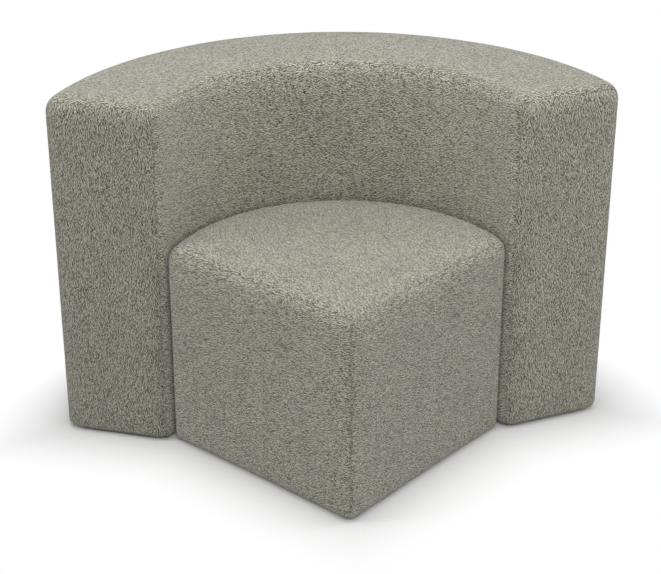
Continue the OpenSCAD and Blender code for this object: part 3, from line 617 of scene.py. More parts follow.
class BackForm:
    """Points on the covers of the curved back, from its sizes."""

    def __init__(self, back, look):
        self.r = back.edge_radius
        self.inner = back.inner_radius
        self.outer = back.inner_radius + back.thickness
        self.sweep = back.half_sweep
        self.crown = back.crown
        self.edge_z = back.height - back.crown - back.edge_radius
        self.centre = arc_centre(back)
        self.rows = Rows(look, self.r, self.edge_z)
        roll = half_roll(self.r)
        rest = 0 * roll
        arc_length = 2 * self.end_angle(self.outer - self.r) * self.outer
        tau = spaced(2.0, 2.0 * GRID_STEP / arc_length) - 1.0
        self.tau = np.concatenate([rest - 1.0, tau, rest + 1.0])
        end_roll = np.tan(np.concatenate([roll, 0 * tau, roll[::-1]]))
        self.to_end = self.end_normal(np.sign(self.tau)) * end_roll[:, None]
        middle = spaced(1.0, GRID_STEP / (back.thickness - 2 * self.r))
        self.across = np.concatenate([rest, middle, rest + 1.0])
        self.radii = self.inner + self.r + (self.outer - self.inner - 2 * self.r) * self.across
        inward = np.concatenate([roll, 0 * middle, rest])
        self.lean = np.tan(inward[::-1]) - np.tan(inward)

    def end_angle(self, radius):
        """Angle to the axis of the soft end edge, at a radius."""
        return self.sweep - np.arcsin(self.r / radius)

    def end_normal(self, side):
        """Direction in which an end faces."""
        x, y = side * math.cos(self.sweep), np.full_like(side, -math.sin(self.sweep))
        return np.stack([x, y, 0 * side], axis=-1)

    def ray(self, theta):
        """Direction from the arc centre at an angle."""
        return np.stack([np.sin(theta), np.cos(theta), 0 * theta], axis=-1)

    def upright(self, edge, facing):
        """Grid of a wall from the axis of its soft edges and the way in which it faces."""
        facing = unit(facing + UP * np.tan(self.rows.roll)[:, None, None])
        place = edge + facing * (self.r - self.rows.inset)[:, None, None]
        return self.centre + place + UP * self.rows.z[:, None, None]

    def wall(self, outward):
        """Grid of the inside wall (outward -1) or the outside wall (outward 1)."""
        radius = self.inner + self.r if outward < 0 else self.outer - self.r
        ray = self.ray(self.tau * self.end_angle(radius))
        return self.upright(radius * ray, outward * ray + self.to_end)

    def end(self, side):
        """Grid of one end face, from the inside edge to the outside edge."""
        ray = self.ray(side * self.end_angle(self.radii))
        facing = self.end_normal(np.array([float(side)])) + self.lean[:, None] * ray
        return self.upright(self.radii[:, None] * ray, facing)

    def top(self):
        """Grid of the top face: rows from the inside seam to the outside seam."""
        radius = self.radii[:, None]
        ray = self.ray(self.tau[None] * self.end_angle(radius))
        facing = unit(UP + self.lean[:, None, None] * ray + self.to_end)
        rise = self.crown * (1 - np.cos(2 * math.pi * self.across)) / 2
        rise = rise[:, None] * np.maximum(2 * facing[..., 2] ** 2 - 1, 0.0)
        points = self.centre + radius[..., None] * ray + self.r * facing + UP * self.edge_z
        return points + UP * rise[..., None]

    def panels(self):
        """All panels of the back. The seam at the top of the right end gapes: its groove is deeper
        and its painted shade darker.
        """
        right = grid_panel("back_end_panel_right", self.end(1), upright=True)
        right.gape = np.outer(self.rows.roll > 0, self.across).ravel()
        return [
            grid_panel("back_inner_panel", self.wall(-1)),
            grid_panel("back_outer_panel", self.wall(1), turned=True),
            grid_panel("back_end_panel_left", self.end(-1), upright=True, turned=True),
            right,
            grid_panel("back_top_panel", self.top(), hem=0),
        ]


# Places from the end of a corner to its middle, the length of a straight side in the grid, and
# the least radius of a corner under the floor edge.
HALF_CORNER = np.array([0.0, 0.06, 0.14, 0.26, 0.44, 0.70, 1.0])
STRAIGHT = 0.42
LEAST_CORNER = 0.003


class SeatForm:
    """Points on the covers of the wedge-shaped seat, from its sizes."""

    def __init__(self, seat, back, look):
        self.seat = seat
        self.radius = back.inner_radius - seat.gap
        self.reach = (seat.depth - self.radius) * math.sin(EIGHTH)
        self.edge_r = seat.edge_radius
        self.edge_z = seat.height - seat.crown - seat.edge_radius
        self.centre = arc_centre(back)
        self.rows = Rows(look, self.edge_r, self.edge_z)
        self.rows.inset = self.rows.inset + self.edge_r * (1 - np.cos(self.rows.roll))
        self.rows.z = self.rows.z + self.edge_r * np.sin(self.rows.roll)
        self.straight = spaced(1.0, GRID_STEP / STRAIGHT)
        arc_count = 2 * (len(HALF_CORNER) + len(self.straight)) - 1
        self.sweep = np.linspace(0.0, 1.0, arc_count + 2)[1:-1]

    def side_centre(self, inset):
        """Centre of the right side corner, and the angle at which it meets the rear arc."""
        r = np.maximum(self.seat.side_corner_radius - inset, LEAST_CORNER)
        h = self.reach - inset - r
        s = np.sqrt((self.radius - inset - r) ** 2 - h * h)
        x, y = (h + s) * math.cos(EIGHTH), (s - h) * math.sin(EIGHTH)
        return x, y, r, np.arctan2(y, x)

    def side_outline(self, inset):
        """Right side from the middle of the front corner to the middle of the side corner."""
        inset = inset[:, None]
        r = np.maximum(self.seat.front_corner_radius - inset, LEAST_CORNER)
        y = -(self.reach - inset - r) / math.sin(EIGHTH)
        front = arc(0.0, y, r, -QUARTER + EIGHTH * HALF_CORNER)
        x, y, r, turn = self.side_centre(inset)
        corner = arc(x, y, r, -EIGHTH + (turn + EIGHTH) / 2 * (1 - HALF_CORNER[::-1]))
        s = self.straight[:, None]
        pull = self.seat.draw * np.sin(math.pi * s) * math.sin(EIGHTH)
        line = front[:, -1:] + (corner[:, :1] - front[:, -1:]) * s + pull * MIRROR
        return np.concatenate([front, line, corner], axis=1)

    def rear_outline(self, inset):
        """Rear from the middle of the right side corner to the middle of the left one."""
        inset = inset[:, None]
        x, y, r, turn = self.side_centre(inset)
        corner = arc(x, y, r, turn - (turn + EIGHTH) / 2 * (1 - HALF_CORNER))
        rear = arc(0.0, 0.0, self.radius - inset, turn + (math.pi - 2 * turn) * self.sweep)
        return np.concatenate([corner, rear, corner[:, ::-1] * MIRROR], axis=1)

    def raised(self, outline, z):
        """Outlines at their heights."""
        return self.centre + np.dstack([outline, np.broadcast_to(z[:, None], outline.shape[:2])])

    def top_panel(self):
        """Soft edge above the seam as rings, and the crowned middle as a patch with four sides."""
        rolls = np.append(EIGHTH + (EIGHTH - half_roll(self.edge_r)[:-1]), QUARTER)
        inset = self.edge_r * (1 - np.cos(rolls))
        side, rear = self.side_outline(inset), self.rear_outline(inset)
        left = side[:, ::-1] * MIRROR
        outline = np.concatenate([side, rear[:, 1:], left[:, 1:-1]], axis=1)
        rings = self.raised(outline, self.edge_z + self.edge_r * np.sin(rolls)).reshape(-1, 3)
        count = outline.shape[1]
        n = count // 4
        ring = np.arange(len(rings)).reshape(-1, count)
        index = np.zeros((n + 1, n + 1), int)
        edges = [ring[-1][(k * n + np.arange(n + 1)) % count] for k in range(4)]
        index[0], index[:, n], index[n, ::-1], index[::-1, 0] = edges
        index[1:n, 1:n] = len(rings) + np.arange((n - 1) ** 2).reshape(n - 1, n - 1)
        near, far = rings[index[0], :2], rings[index[n], :2]
        wide, right = (rings[index[:, k], None, :2] for k in (0, n))
        a = np.linspace(0.0, 1.0, n + 1)[None, :, None]
        b = a.reshape(-1, 1, 1)
        flat = (
            (1 - b) * near + b * far + (1 - a) * wide + a * right
            - (1 - a) * (1 - b) * near[0] - a * (1 - b) * near[n]
            - (1 - a) * b * far[0] - a * b * far[n]
        )
        lift = 16 * a * (1 - a) * b * (1 - b)
        z = self.edge_z + self.edge_r + self.seat.crown * lift * lift * (3 - 2 * lift)
        patch = np.concatenate([flat, z], axis=-1)[1:n, 1:n].reshape(-1, 3)
        points = np.concatenate([rings, patch])
        faces = np.concatenate([grid_faces(np.c_[ring, ring[:, :1]]), grid_faces(index)])
        seam = np.append(
            np.repeat(self.edge_r * (rolls - EIGHTH), count), np.full(len(patch), self.edge_r)
        )
        x, y = points[:, 0], points[:, 1]
        weave = np.stack([x - y, x + y], axis=-1) * math.cos(EIGHTH)
        return Panel("seat_top_panel", points, faces, weave, seam, 0.0 * seam)

    def panels(self):
        """All panels of the seat."""
        right = self.raised(self.side_outline(self.rows.inset), self.rows.z)
        rear = self.raised(self.rear_outline(self.rows.inset), self.rows.z)
        return [
            grid_panel("seat_side_panel_right", right),
            grid_panel("seat_side_panel_left", right[:, ::-1] * np.append(MIRROR, 1.0)),
            grid_panel("seat_rear_panel", rear),
            self.top_panel(),
        ]


# From panels to sewn, filled covers

# Points that lie closer together than a hundredth of a millimetre are one point.
MERGE = 1e5
NUDGE = 0.1234
CLOTH = {
    "quality": 5,
    "mass": 0.3,
    "tension_stiffness": 15.0,
    "compression_stiffness": 15.0,
    "shear_stiffness": 5.0,
    "bending_stiffness": 0.5,
    "use_pressure": True,
    "uniform_pressure_force": 4.0,
    "vertex_group_mass": "held",
}
LAST_FRAME = 20
# Painted shade: the left end panel is painted darker and the inner panel lighter, standing in for
# how the light falls on them.
PAINTED_PANEL_SHADES = {"back_end_panel_left": 0.91, "back_inner_panel": 1.02}


def add(name, data):
    """Puts an object with this data in the scene."""
    obj = bpy.data.objects.new(name, data)
    bpy.context.scene.collection.objects.link(obj)
    return obj


def mesh_object(name, points, faces, material=None):
    """A smooth mesh object from points and faces."""
    mesh = bpy.data.meshes.new(name)
    mesh.from_pydata(np.asarray(points).tolist(), [], np.asarray(faces).tolist())
    mesh.update()
    if material:
        mesh.materials.append(material)
        smooth(mesh)
    return add(name, mesh)


def smooth(mesh):
    """Shades a mesh smooth."""
    mesh.polygons.foreach_set("use_smooth", [True] * len(mesh.polygons))


def thicken(obj, thickness):
    """Gives a sheet its thickness, on the side away from its face."""
    thick = obj.modifiers.new("Thickness", "SOLIDIFY")
    thick.thickness = thickness
    thick.offset = -1.0


def settle(obj, slot, *nodes):
    """Says what a piece rides on and which nodes it stands for. The slot is not used."""
    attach(obj, BODY)
    if nodes:
        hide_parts(*nodes)


def fall(distance, reach):
    """1 at a seam, and near 0 past its reach."""
    return np.exp(-((distance / reach) ** 2))


class Sewn:
    """All panels of a unit joined at their seams."""

    def __init__(self, panels):
        self.panels = panels
        every = np.concatenate([p.points for p in panels])
        key = np.round(every * MERGE + NUDGE).astype(np.int64)
        _, first, where = np.unique(key, axis=0, return_index=True, return_inverse=True)
        where = where.ravel()

        def joined(key, start, pick):
            values = np.full(len(first), start)
            pick.at(values, where, np.concatenate([getattr(p, key) for p in panels]))
            return values

        self.points = every[first]
        self.seam = joined("seam", 1.0, np.minimum)
        self.held = joined("held", 0.0, np.maximum)
        self.gape = joined("gape", 0.0, np.maximum)
        self.own = np.split(where, np.cumsum([len(p.points) for p in panels])[:-1])
        self.faces = [own[p.faces] for own, p in zip(self.own, panels)]
        faces = np.concatenate(self.faces)
        normal = face_normals(self.points, faces)
        total = np.zeros_like(self.points)
        for k in range(4):
            np.add.at(total, faces[:, k], normal)
        self.normals = unit(total)

    def fill(self, look):
        """How far the covers swell over their foam, by simulation, with hems and seams held."""
        obj = mesh_object("settling_cover", self.points, np.concatenate(self.faces))
        held = np.maximum(self.held, fall(self.seam, 2.5 * MM))
        group = obj.vertex_groups.new(name="held")
        for k in np.nonzero(held > 0.01)[0].tolist():
            group.add([k], held[k], "REPLACE")
        cloth = obj.modifiers.new("Cloth", "CLOTH")
        for key, value in CLOTH.items():
            setattr(cloth.settings, key, value)
        cloth.settings.effector_weights.gravity = 0.0
        cloth.collision_settings.use_collision = False
        cloth.point_cache.frame_start = 1
        cloth.point_cache.frame_end = LAST_FRAME
        for k in range(1, LAST_FRAME + 1):
            bpy.context.scene.frame_set(k)
        settled = obj.evaluated_get(bpy.context.evaluated_depsgraph_get()).to_mesh()
        moved = np.zeros(self.points.size)
        settled.vertices.foreach_get("co", moved)
        bpy.context.scene.frame_set(1)
        mesh = obj.data
        bpy.data.objects.remove(obj)
        bpy.data.meshes.remove(mesh)
        outward = ((moved.reshape(-1, 3) - self.points) * self.normals).sum(axis=1)
        return look.swell * np.tanh(np.maximum(outward, 0.0) / look.swell)

    def sew(self, look):
        """Final points: the swell, the draw at the seams, their grooves and puckers."""
        free = 1.0 - self.held
        swell = self.fill(look)
        self.gape = look.closed_seam + (1 - look.closed_seam) * self.gape
        groove = look.seam_depth * self.gape * fall(self.seam, look.seam_width)
        uneven = np.array([noise.noise(Vector(p) * 14.0) for p in self.points]) * 0.6 * MM
        uneven = uneven * np.minimum(self.seam / 0.02, 1.0)
        wave = np.array([noise.noise_vector(Vector(p) * 46.0) for p in self.points]) * look.pucker
        lift = (swell - look.draw_in + uneven) * free - groove
        near = fall(self.seam, 0.009) * free
        return self.points + self.normals * lift[:, None] + wave * near[:, None]

    def seam_lines(self, final):
        """Lines of points along every seam, drawn through the bottoms of the grooves."""
        used, seams = {}, {}
        for count, faces in enumerate(self.faces):
            for f in faces.tolist():
                for pair in zip(f, f[1:] + f[:1]):
                    used.setdefault(tuple(sorted(pair)), set()).add(count)
        for (i, j), panels in used.items():
            if len(panels) == 2 and self.held[i] < 0.5 and self.held[j] < 0.5:
                seams.setdefault(tuple(sorted(panels)), []).append((i, j))
        lines = [line for pairs in seams.values() for line in chains(pairs) if len(line) > 1]
        return [final[line] + self.normals[line] * 0.05 * MM for line in lines]


def chains(pairs):
    """Runs of neighbours: open runs from their ends first, then closed ones."""
    near, runs = {}, []
    for i, j in pairs:
        near.setdefault(i, []).append(j)
        near.setdefault(j, []).append(i)
    left = set(near)
    while left:
        ends = [k for k in sorted(left) if sum(n in left for n in near[k]) <= 1]
        here, run = ends[0] if ends else min(left), []
        while here is not None:
            run.append(here)
            left.discard(here)
            here = next((k for k in near[here] if k in left), None)
        runs.append(run)
    return runs


def cover_piece(panel, points, gape, look, material):
    """One cover panel as cloth with its real thickness."""
    obj = mesh_object(panel.name, points, panel.faces, material)
    mesh = obj.data
    corner = np.zeros(len(mesh.loops), int)
    mesh.loops.foreach_get("vertex_index", corner)
    place = panel.weave[corner].astype(np.float32).ravel()
    mesh.uv_layers.new(name="weave").data.foreach_set("uv", place)
    # Painted shade: one brightness factor for the whole panel, darker on the left end and lighter
    # on the inner wall.
    nap = np.full(len(points), PAINTED_PANEL_SHADES.get(panel.name, 1.0))
    for name, values in (("seam", panel.seam), ("gape", gape), ("nap", nap)):
        layer = mesh.attributes.new(name, "FLOAT", "POINT")
        layer.data.foreach_set("value", values.astype(np.float32))
    finer = obj.modifiers.new("Subdivision", "SUBSURF")
    finer.levels = finer.render_levels = 1
    thicken(obj, look.thickness)
    settle(obj, "cover_fabric", panel.name.replace("_panel", "_cover"))


# Small repeated pieces by Geometry Nodes

SEED = 7


class Repeater(Maker):
    """A node tree that sets one small piece at even steps along a curve."""

    def __init__(self, name, **sizes):
        super().__init__(bpy.data.node_groups.new(name, "GeometryNodeTree"))
        self.tree.is_modifier = True
        new = self.tree.interface.new_socket
        new(name="Geometry", in_out="INPUT", socket_type="NodeSocketGeometry")
        self.values = {}
        for key, value in sizes.items():
            item = new(name=key, in_out="INPUT", socket_type="NodeSocketFloat")
            item.default_value = value
            self.values[item.identifier] = value
        new(name="Geometry", in_out="OUTPUT", socket_type="NodeSocketGeometry")
        self.given = self.node("NodeGroupInput")

    def finish(self, small, material, turn):
        """Sets the small piece along the curve, makes it real and gives it its material."""
        even = self.node(
            "GeometryNodeResampleCurve", {"mode": "LENGTH"},
            {"Curve": self.given["Geometry"], "Length": self.given["Pitch"]},
        )
        aim = self.node(
            "FunctionNodeAlignEulerToVector", {"axis": "X", "pivot_axis": "AUTO"},
            {"Vector": self.node("GeometryNodeInputTangent")["Tangent"]},
        )
        spin = self.node(
            "FunctionNodeRandomValue", {"data_type": "FLOAT"}, {"Seed": SEED, 2: -turn, 3: turn}
        )
        turned = self.node(
            "FunctionNodeRotateEuler", {"rotation_type": "EULER", "space": "LOCAL"},
            {"Rotation": aim["Rotation"], "Rotate By": self.join(z=spin[1])},
        )
        placed = self.node(
            "GeometryNodeInstanceOnPoints", None,
            {"Points": even["Curve"], "Instance": small, "Rotation": turned["Rotation"]},
        )
        real = self.node(
            "GeometryNodeRealizeInstances", None, {"Geometry": placed["Instances"]}
        )
        done = self.node(
            "GeometryNodeSetMaterial", None, {"Geometry": real["Geometry"], "Material": material}
        )
        self.node("NodeGroupOutput", None, {"Geometry": done["Geometry"]})
        return self

    def run(self, name, slot, lines, closed=False):
        """Makes a plain mesh piece from the tree, run on lines of points."""
        curve = bpy.data.curves.new(name, "CURVE")
        curve.dimensions = "3D"
        for line in lines:
            spline = curve.splines.new("POLY")
            spline.points.add(len(line) - 1)
            spline.points.foreach_set("co", np.c_[line, np.ones(len(line))].ravel())
            spline.use_cyclic_u = closed
        source = add(name + "_line", curve)
        modifier = source.modifiers.new("Repeat", "NODES")
        modifier.node_group = self.tree
        for key, value in self.values.items():
            modifier[key] = value
        graph = bpy.context.evaluated_depsgraph_get()
        mesh = bpy.data.meshes.new_from_object(source.evaluated_get(graph))
        source.modifiers.remove(modifier)
        bpy.data.objects.remove(source)
        bpy.data.curves.remove(curve)
        if not mesh.vertices:
            raise RuntimeError(f"{name} came out empty")
        mesh.name = name
        smooth(mesh)
        settle(add(name, mesh), slot)


def stitch_tree(material):
    """Lock stitches: one short twisted thread for each, with a gap between them."""
    r = Repeater("stitches", Pitch=3.2 * MM, Length=2.7 * MM, Thread=0.45 * MM)
    ball = r.node("GeometryNodeMeshUVSphere", None, {"Segments": 6, "Rings": 4, "Radius": 0.5})
    scale = r.join(r.given["Length"], r.given["Thread"], r.given["Thread"])
    thread = r.node("GeometryNodeTransform", None, {"Geometry": ball["Mesh"], "Scale": scale})
    return r.finish(thread["Geometry"], material, 0.12)


def staple_tree(material):
    """Wire staples with a flat crown and rounded shoulders that sink into the cloth."""
    r = Repeater("staples", Pitch=38.0 * MM, Crown=11.0 * MM, Wire=0.9 * MM)
    left, right = r.given["Crown"] * -0.5, r.given["Crown"] * 0.5
    sunk, proud = 1.6 * MM, -0.6 * MM
    crown = r.node(
        "GeometryNodeCurvePrimitiveBezierSegment", {"mode": "POSITION"},
        {
            "Resolution": 10,
            "Start": r.join(left, z=sunk),
            "Start Handle": r.join(left, z=proud),
            "End Handle": r.join(right, z=proud),
            "End": r.join(right, z=sunk),
        },
    )
    wire = r.node(
        "GeometryNodeCurvePrimitiveCircle", {"mode": "RADIUS"},
        {"Resolution": 6, "Radius": r.given["Wire"] * 0.5},
    )
    solid = r.node(
        "GeometryNodeCurveToMesh", None,
        {"Curve": crown["Curve"], "Profile Curve": wire["Curve"], "Fill Caps": True},
    )
    return r.finish(solid["Mesh"], material, 0.25)


# Undersides

DUST_GRID = 0.014
DUST_RISE = 0.7 * MM
DUST_SAG = 0.9 * MM
DUST_CREASE = 0.5 * MM
DUST_THICKNESS = 0.3 * MM
STAPLE_INSET = 7.0 * MM
STAPLE_STEP = 0.012


def merged(mesh):
    """A working copy of a node's mesh, with its loose triangles joined."""
    bm = bmesh.new()
    bm.from_mesh(mesh)
    bmesh.ops.remove_doubles(bm, verts=bm.verts, dist=1e-6)
    return bm


def underside(node):
    """Boundary points and edges of a flat node's lower face, and its height."""
    bm = merged(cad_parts[node].data)
    low = min(v.co.z for v in bm.verts)
    faces = {f for f in bm.faces if all(abs(v.co.z - low) < 1e-5 for v in f.verts)}
    numbers, points, edges = {}, [], []
    for e in bm.edges:
        if sum(f in faces for f in e.link_faces) == 1:
            for v in e.verts:
                if v.index not in numbers:
                    numbers[v.index] = len(points)
                    points.append(tuple(v.co)[:2])
            edges.append(tuple(numbers[v.index] for v in e.verts))
    bm.free()
    return np.array(points), edges, low


def inside(points, rim, edges):
    """Which points lie inside the outline, by counting crossings."""
    a, b = (rim[[edge[k] for edge in edges]] for k in (0, 1))
    x, y = points[:, :1], points[:, 1:]
    spans = (a[None, :, 1] > y) != (b[None, :, 1] > y)
    rise = np.where(a[:, 1] == b[:, 1], 1.0, b[:, 1] - a[:, 1])
    cross = a[:, 0] + (y - a[:, 1]) * (b[:, 0] - a[:, 0]) / rise
    return (spans & (x < cross)).sum(axis=1) % 2 == 1


def nearest(points, others):
    """Distance from each point to the nearest of the others."""
    return np.min(np.linalg.norm(points[:, None] - others[None], axis=2), axis=1)


def inset_loop(loop, inset):
    """A loop moved inwards, with its points spread evenly."""
    closed = np.vstack([loop, loop[:1]])
    along = np.append(0, np.cumsum(np.linalg.norm(np.diff(closed, axis=0), axis=1)))
    at = np.linspace(0, along[-1], max(24, int(along[-1] / STAPLE_STEP)))[:-1]
    even = np.stack([np.interp(at, along, closed[:, k]) for k in (0, 1)], axis=1)
    ahead = np.roll(even, -2, axis=0) - np.roll(even, 2, axis=0)
    normal = unit(np.stack([-ahead[:, 1], ahead[:, 0]], axis=1))
    x, y = even.T
    area = (x * np.roll(y, -1) - y * np.roll(x, -1)).sum()
    return even + normal * inset * (1 if area > 0 else -1)


def cloth_under(unit_name, material):
    """Dust cloth stretched under a frame. Returns the line for its staples."""
    rim, edges, low = underside(unit_name + "_dust_cover")
    start, end = rim.min(axis=0), rim.max(axis=0)
    xs, ys = (np.arange(start[k] + DUST_GRID / 2, end[k], DUST_GRID) for k in (0, 1))
    grid = np.stack(np.meshgrid(xs, ys), axis=-1).reshape(-1, 2)
    grid = grid[inside(grid, rim, edges)]
    grid = grid[nearest(grid, rim) > DUST_GRID * 0.45]
    every = [Vector(p) for p in np.concatenate([rim, grid]).tolist()]
    made = geometry.delaunay_2d_cdt(every, edges, [], 0, 1e-6)
    flat = np.array([tuple(p) for p in made[0]])
    faces = np.array([f for f in made[2] if len(f) == 3])
    faces = faces[inside(flat[faces].mean(axis=1), rim, edges)]
    away = nearest(flat, rim)
    crease = np.array([noise.noise(Vector((p[0] * 18.0, p[1] * 18.0, 0.3))) for p in flat])
    crease = crease * DUST_CREASE * np.minimum(away / 0.03, 1.0)
    z = low + DUST_RISE - np.minimum(away / 0.05, 1.0) * DUST_SAG + crease
    used, faces = np.unique(faces, return_inverse=True)
    faces = faces.reshape(-1, 3)
    points = np.c_[flat, z][used]
    down = face_normals(points, faces)[:, 2:] < 0
    faces = np.where(down, faces, faces[:, ::-1])
    obj = mesh_object(unit_name + "_dust_cloth", points, faces, material)
    thicken(obj, DUST_THICKNESS)
    settle(obj, "dust_cloth", unit_name + "_dust_cover")
    loop = max((rim[run] for run in chains(edges)), key=lambda points: np.ptp(points[:, 0]))
    line = inset_loop(loop, STAPLE_INSET)
    return np.c_[line, np.full(len(line), low - 0.1 * MM)]


# Foams, felt and webbing


def cut_piece(node, ending, material, slot, bevel=2.0 * MM):
    """A soft piece in the form of its solid, with softened cut edges."""
    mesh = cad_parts[node].data.copy()
    mesh.name = node + ending
    bm = merged(mesh)
    bmesh.ops.dissolve_limit(
        bm, angle_limit=math.radians(0.5), verts=bm.verts, edges=bm.edges
    )
    sharp = [e for e in bm.edges if e.is_manifold and e.calc_face_angle(0.0) > math.radians(50)]
    bmesh.ops.bevel(
        bm, geom=sharp, offset=bevel, segments=2, affect="EDGES", clamp_overlap=True
    )
    bmesh.ops.triangulate(bm, faces=[f for f in bm.faces if len(f.verts) > 4])
    bm.to_mesh(mesh)
    bm.free()
    mesh.materials.clear()
    mesh.materials.append(material)
    smooth(mesh)
    mesh.set_sharp_from_angle(angle=math.radians(40))
    obj = add(node + ending, mesh)
    settle(obj, slot, node)
    return obj


# Operators


class LOUNGE_OT_stage(bpy.types.Operator):
    """Sets the camera, the lights and the floor"""

    bl_idname = "lounge.stage"
    bl_label = "Stage"

    FLOOR_HALF = 9.0
    SHADOW_CORE = 0.012
    # Each lamp's name, place, height that it aims at, size and power.
    LAMPS = (
        ("overhead", (0.0, 0.0, 3.0), 0.0, 2.0, 40.0),
        ("front", (0.0, -3.0, 3.2), 0.4, 1.6, 38.0),
        ("front_right", (2.6, -2.6, 2.0), 0.4, 1.6, 16.0),
        ("front_low", (0.0, -4.2, 0.9), 0.4, 1.6, 30.0),
        ("right", (3.4, 0.0, 2.0), 0.4, 1.6, 29.0),
        ("left", (-3.4, -0.4, 2.0), 0.4, 1.6, 39.0),
    )

    def camera(self, look):
        """Adds the camera at the photograph's angle."""
        data = bpy.data.cameras.new("camera")
        data.lens = look.lens
        data.sensor_width = 36.0
        camera = add("camera", data)
        camera.location = look.camera_place
        camera.rotation_euler = (QUARTER - look.pitch, 0.0, -look.yaw)
        bpy.context.scene.camera = camera

    def lamp(self, name, place, aim, size, power):
        """Adds one round soft lamp."""
        data = bpy.data.lights.new(name, "AREA")
        data.shape = "DISK"
        data.size = size
        data.energy = power
        lamp = add(name, data)
        lamp.location = place
        towards = Vector((0.0, 0.0, aim)) - Vector(place)
        lamp.rotation_euler = towards.to_track_quat("-Z", "Y").to_euler()

    def world(self, look):
        """Adds even light from all round, seen as plain white."""
        world = bpy.data.worlds.new("studio")
        world.use_nodes = True
        m = Maker(world.node_tree)
        m.tree.nodes.remove(m.tree.nodes["Background"])
        lit, seen = (
            m.node("ShaderNodeBackground", None, {"Color": WHITE, "Strength": strength})
            for strength in (look.world, 1.0)
        )
        m.show(lit, seen, "World Output")
        bpy.context.scene.world = world

    def away_from_piece(self, f, back, seat):
        """Distance of a place on the floor from the outline of the back and of the seat."""
        x, y, _ = f.split(f.place())
        x, y = x.size(), y - arc_centre(back)[1]
        reach = (x * x + y * y) ** 0.5
        before_end = x * math.cos(back.half_sweep) - y * math.sin(back.half_sweep)
        before_seat = x - y - (seat.depth - back.inner_radius + seat.gap)
        wall = (reach - (back.inner_radius + back.thickness)).most(before_end)
        return wall.least((reach - back.inner_radius).most(before_seat * math.cos(EIGHTH)))

    def floor(self, look, away):
        """Adds the floor: pale under the piece, and plain white away from it."""
        half = self.FLOOR_HALF
        points = [(-half, -half, 0.0), (half, -half, 0.0), (half, half, 0.0), (-half, half, 0.0)]
        floor = mesh_object("floor", points, [(0, 1, 2, 3)])
        f = Finish("pale_floor")
        f.tree.nodes.remove(f.shader)
        bounce, shade = (
            f.node("ShaderNodeBsdfDiffuse", None, {"Color": (grey, grey, grey)})
            for grey in (look.floor_bounce, look.floor_shade)
        )
        white = f.node("ShaderNodeEmission", None, {"Color": WHITE})
        fade = away(f).between(self.SHADOW_CORE, look.shadow_reach)
        seen = f.node("ShaderNodeMixShader", None, {0: fade, 1: shade[0], 2: white[0]})
        f.show(bounce, seen, "Material Output")
        floor.data.materials.append(f.material)

    def execute(self, context):
        scene = context.scene
        look = scene.stage_look
        self.camera(look)
        self.world(look)
        self.floor(look, lambda f: self.away_from_piece(f, scene.back_sizes, scene.seat_sizes))
        for *lamp, power in self.LAMPS:
            self.lamp(*lamp, power * look.lights)
        scene.view_settings.view_transform = "Standard"
        return {"FINISHED"}


class LOUNGE_OT_covers(bpy.types.Operator):
    """Makes the sewn covers of both units"""

    bl_idname = "lounge.covers"
    bl_label = "Covers"

    def execute(self, context):
        scene = context.scene
        look = scene.cover_look
        material = woven_cover(look)
        stitches = stitch_tree(sewing_thread())
        forms = {
            "back": BackForm(scene.back_sizes, look),
            "seat": SeatForm(scene.seat_sizes, scene.back_sizes, look),
        }
        for unit_name, form in forms.items():
            sewn = Sewn(form.panels())
            final = sewn.sew(look)
            for panel, own in zip(sewn.panels, sewn.own):
                cover_piece(panel, final[own], sewn.gape[own], look, material)
            stitches.run(unit_name + "_seam_stitches", "cover_fabric", sewn.seam_lines(final))
        return {"FINISHED"}


class LOUNGE_OT_foams(bpy.types.Operator):
    """Makes the foams and the felt under the covers"""

    bl_idname = "lounge.foams"
    bl_label = "Foams and felt"

    FILLS = {
        "back_inner_foam": 0.9,
        "back_outer_foam": 0.95,
        "back_top_foam": 0.8,
        "back_end_foam_left": 0.9,
        "back_end_foam_right": 0.9,
        "seat_soft_foam": 0.7,
        "seat_firm_foam": 0.95,
        "seat_side_foam_left": 0.95,
        "seat_side_foam_right": 0.95,
        "seat_rear_foam": 0.95,
    }
    FELT_BEVEL = 0.8 * MM
    FELT_AREA = 0.62

    def execute(self, context):
        foam = open_foam()
        for node, fill in self.FILLS.items():
            cut_piece(node, "_pad", foam, "foam")
        felt = cut_piece("seat_felt", "_pad", needled_felt(), "felt", self.FELT_BEVEL)
        return {"FINISHED"}


class LOUNGE_OT_webbing(bpy.types.Operator):
    """Makes the elastic straps, woven over and under each other"""

    bl_idname = "lounge.webbing"
    bl_label = "Webbing"

    COUNT = 4
    SELVEDGE = 0.3 * MM

    def execute(self, context):
        for word, side in (("right", 1), ("left", -1)):
            run = np.array([side * math.cos(EIGHTH), math.cos(EIGHTH)])
            cloth = elastic_webbing("webbing_" + word, run.tolist())
            for count in range(1, self.COUNT + 1):
                node = f"strap_{word}_{count}"
                strap = cut_piece(node, "_webbing", cloth, "webbing", self.SELVEDGE)
        return {"FINISHED"}


class LOUNGE_OT_undersides(bpy.types.Operator):
    """Makes the dust cloths and their staples"""

    bl_idname = "lounge.undersides"
    bl_label = "Undersides"

    def execute(self, context):
        cloth = dust_cloth()
        staples = staple_tree(zinc_steel())
        for unit_name in ("back", "seat"):
            line = cloth_under(unit_name, cloth)
            staples.run(unit_name + "_dust_staples", "steel", [line], closed=True)
        return {"FINISHED"}


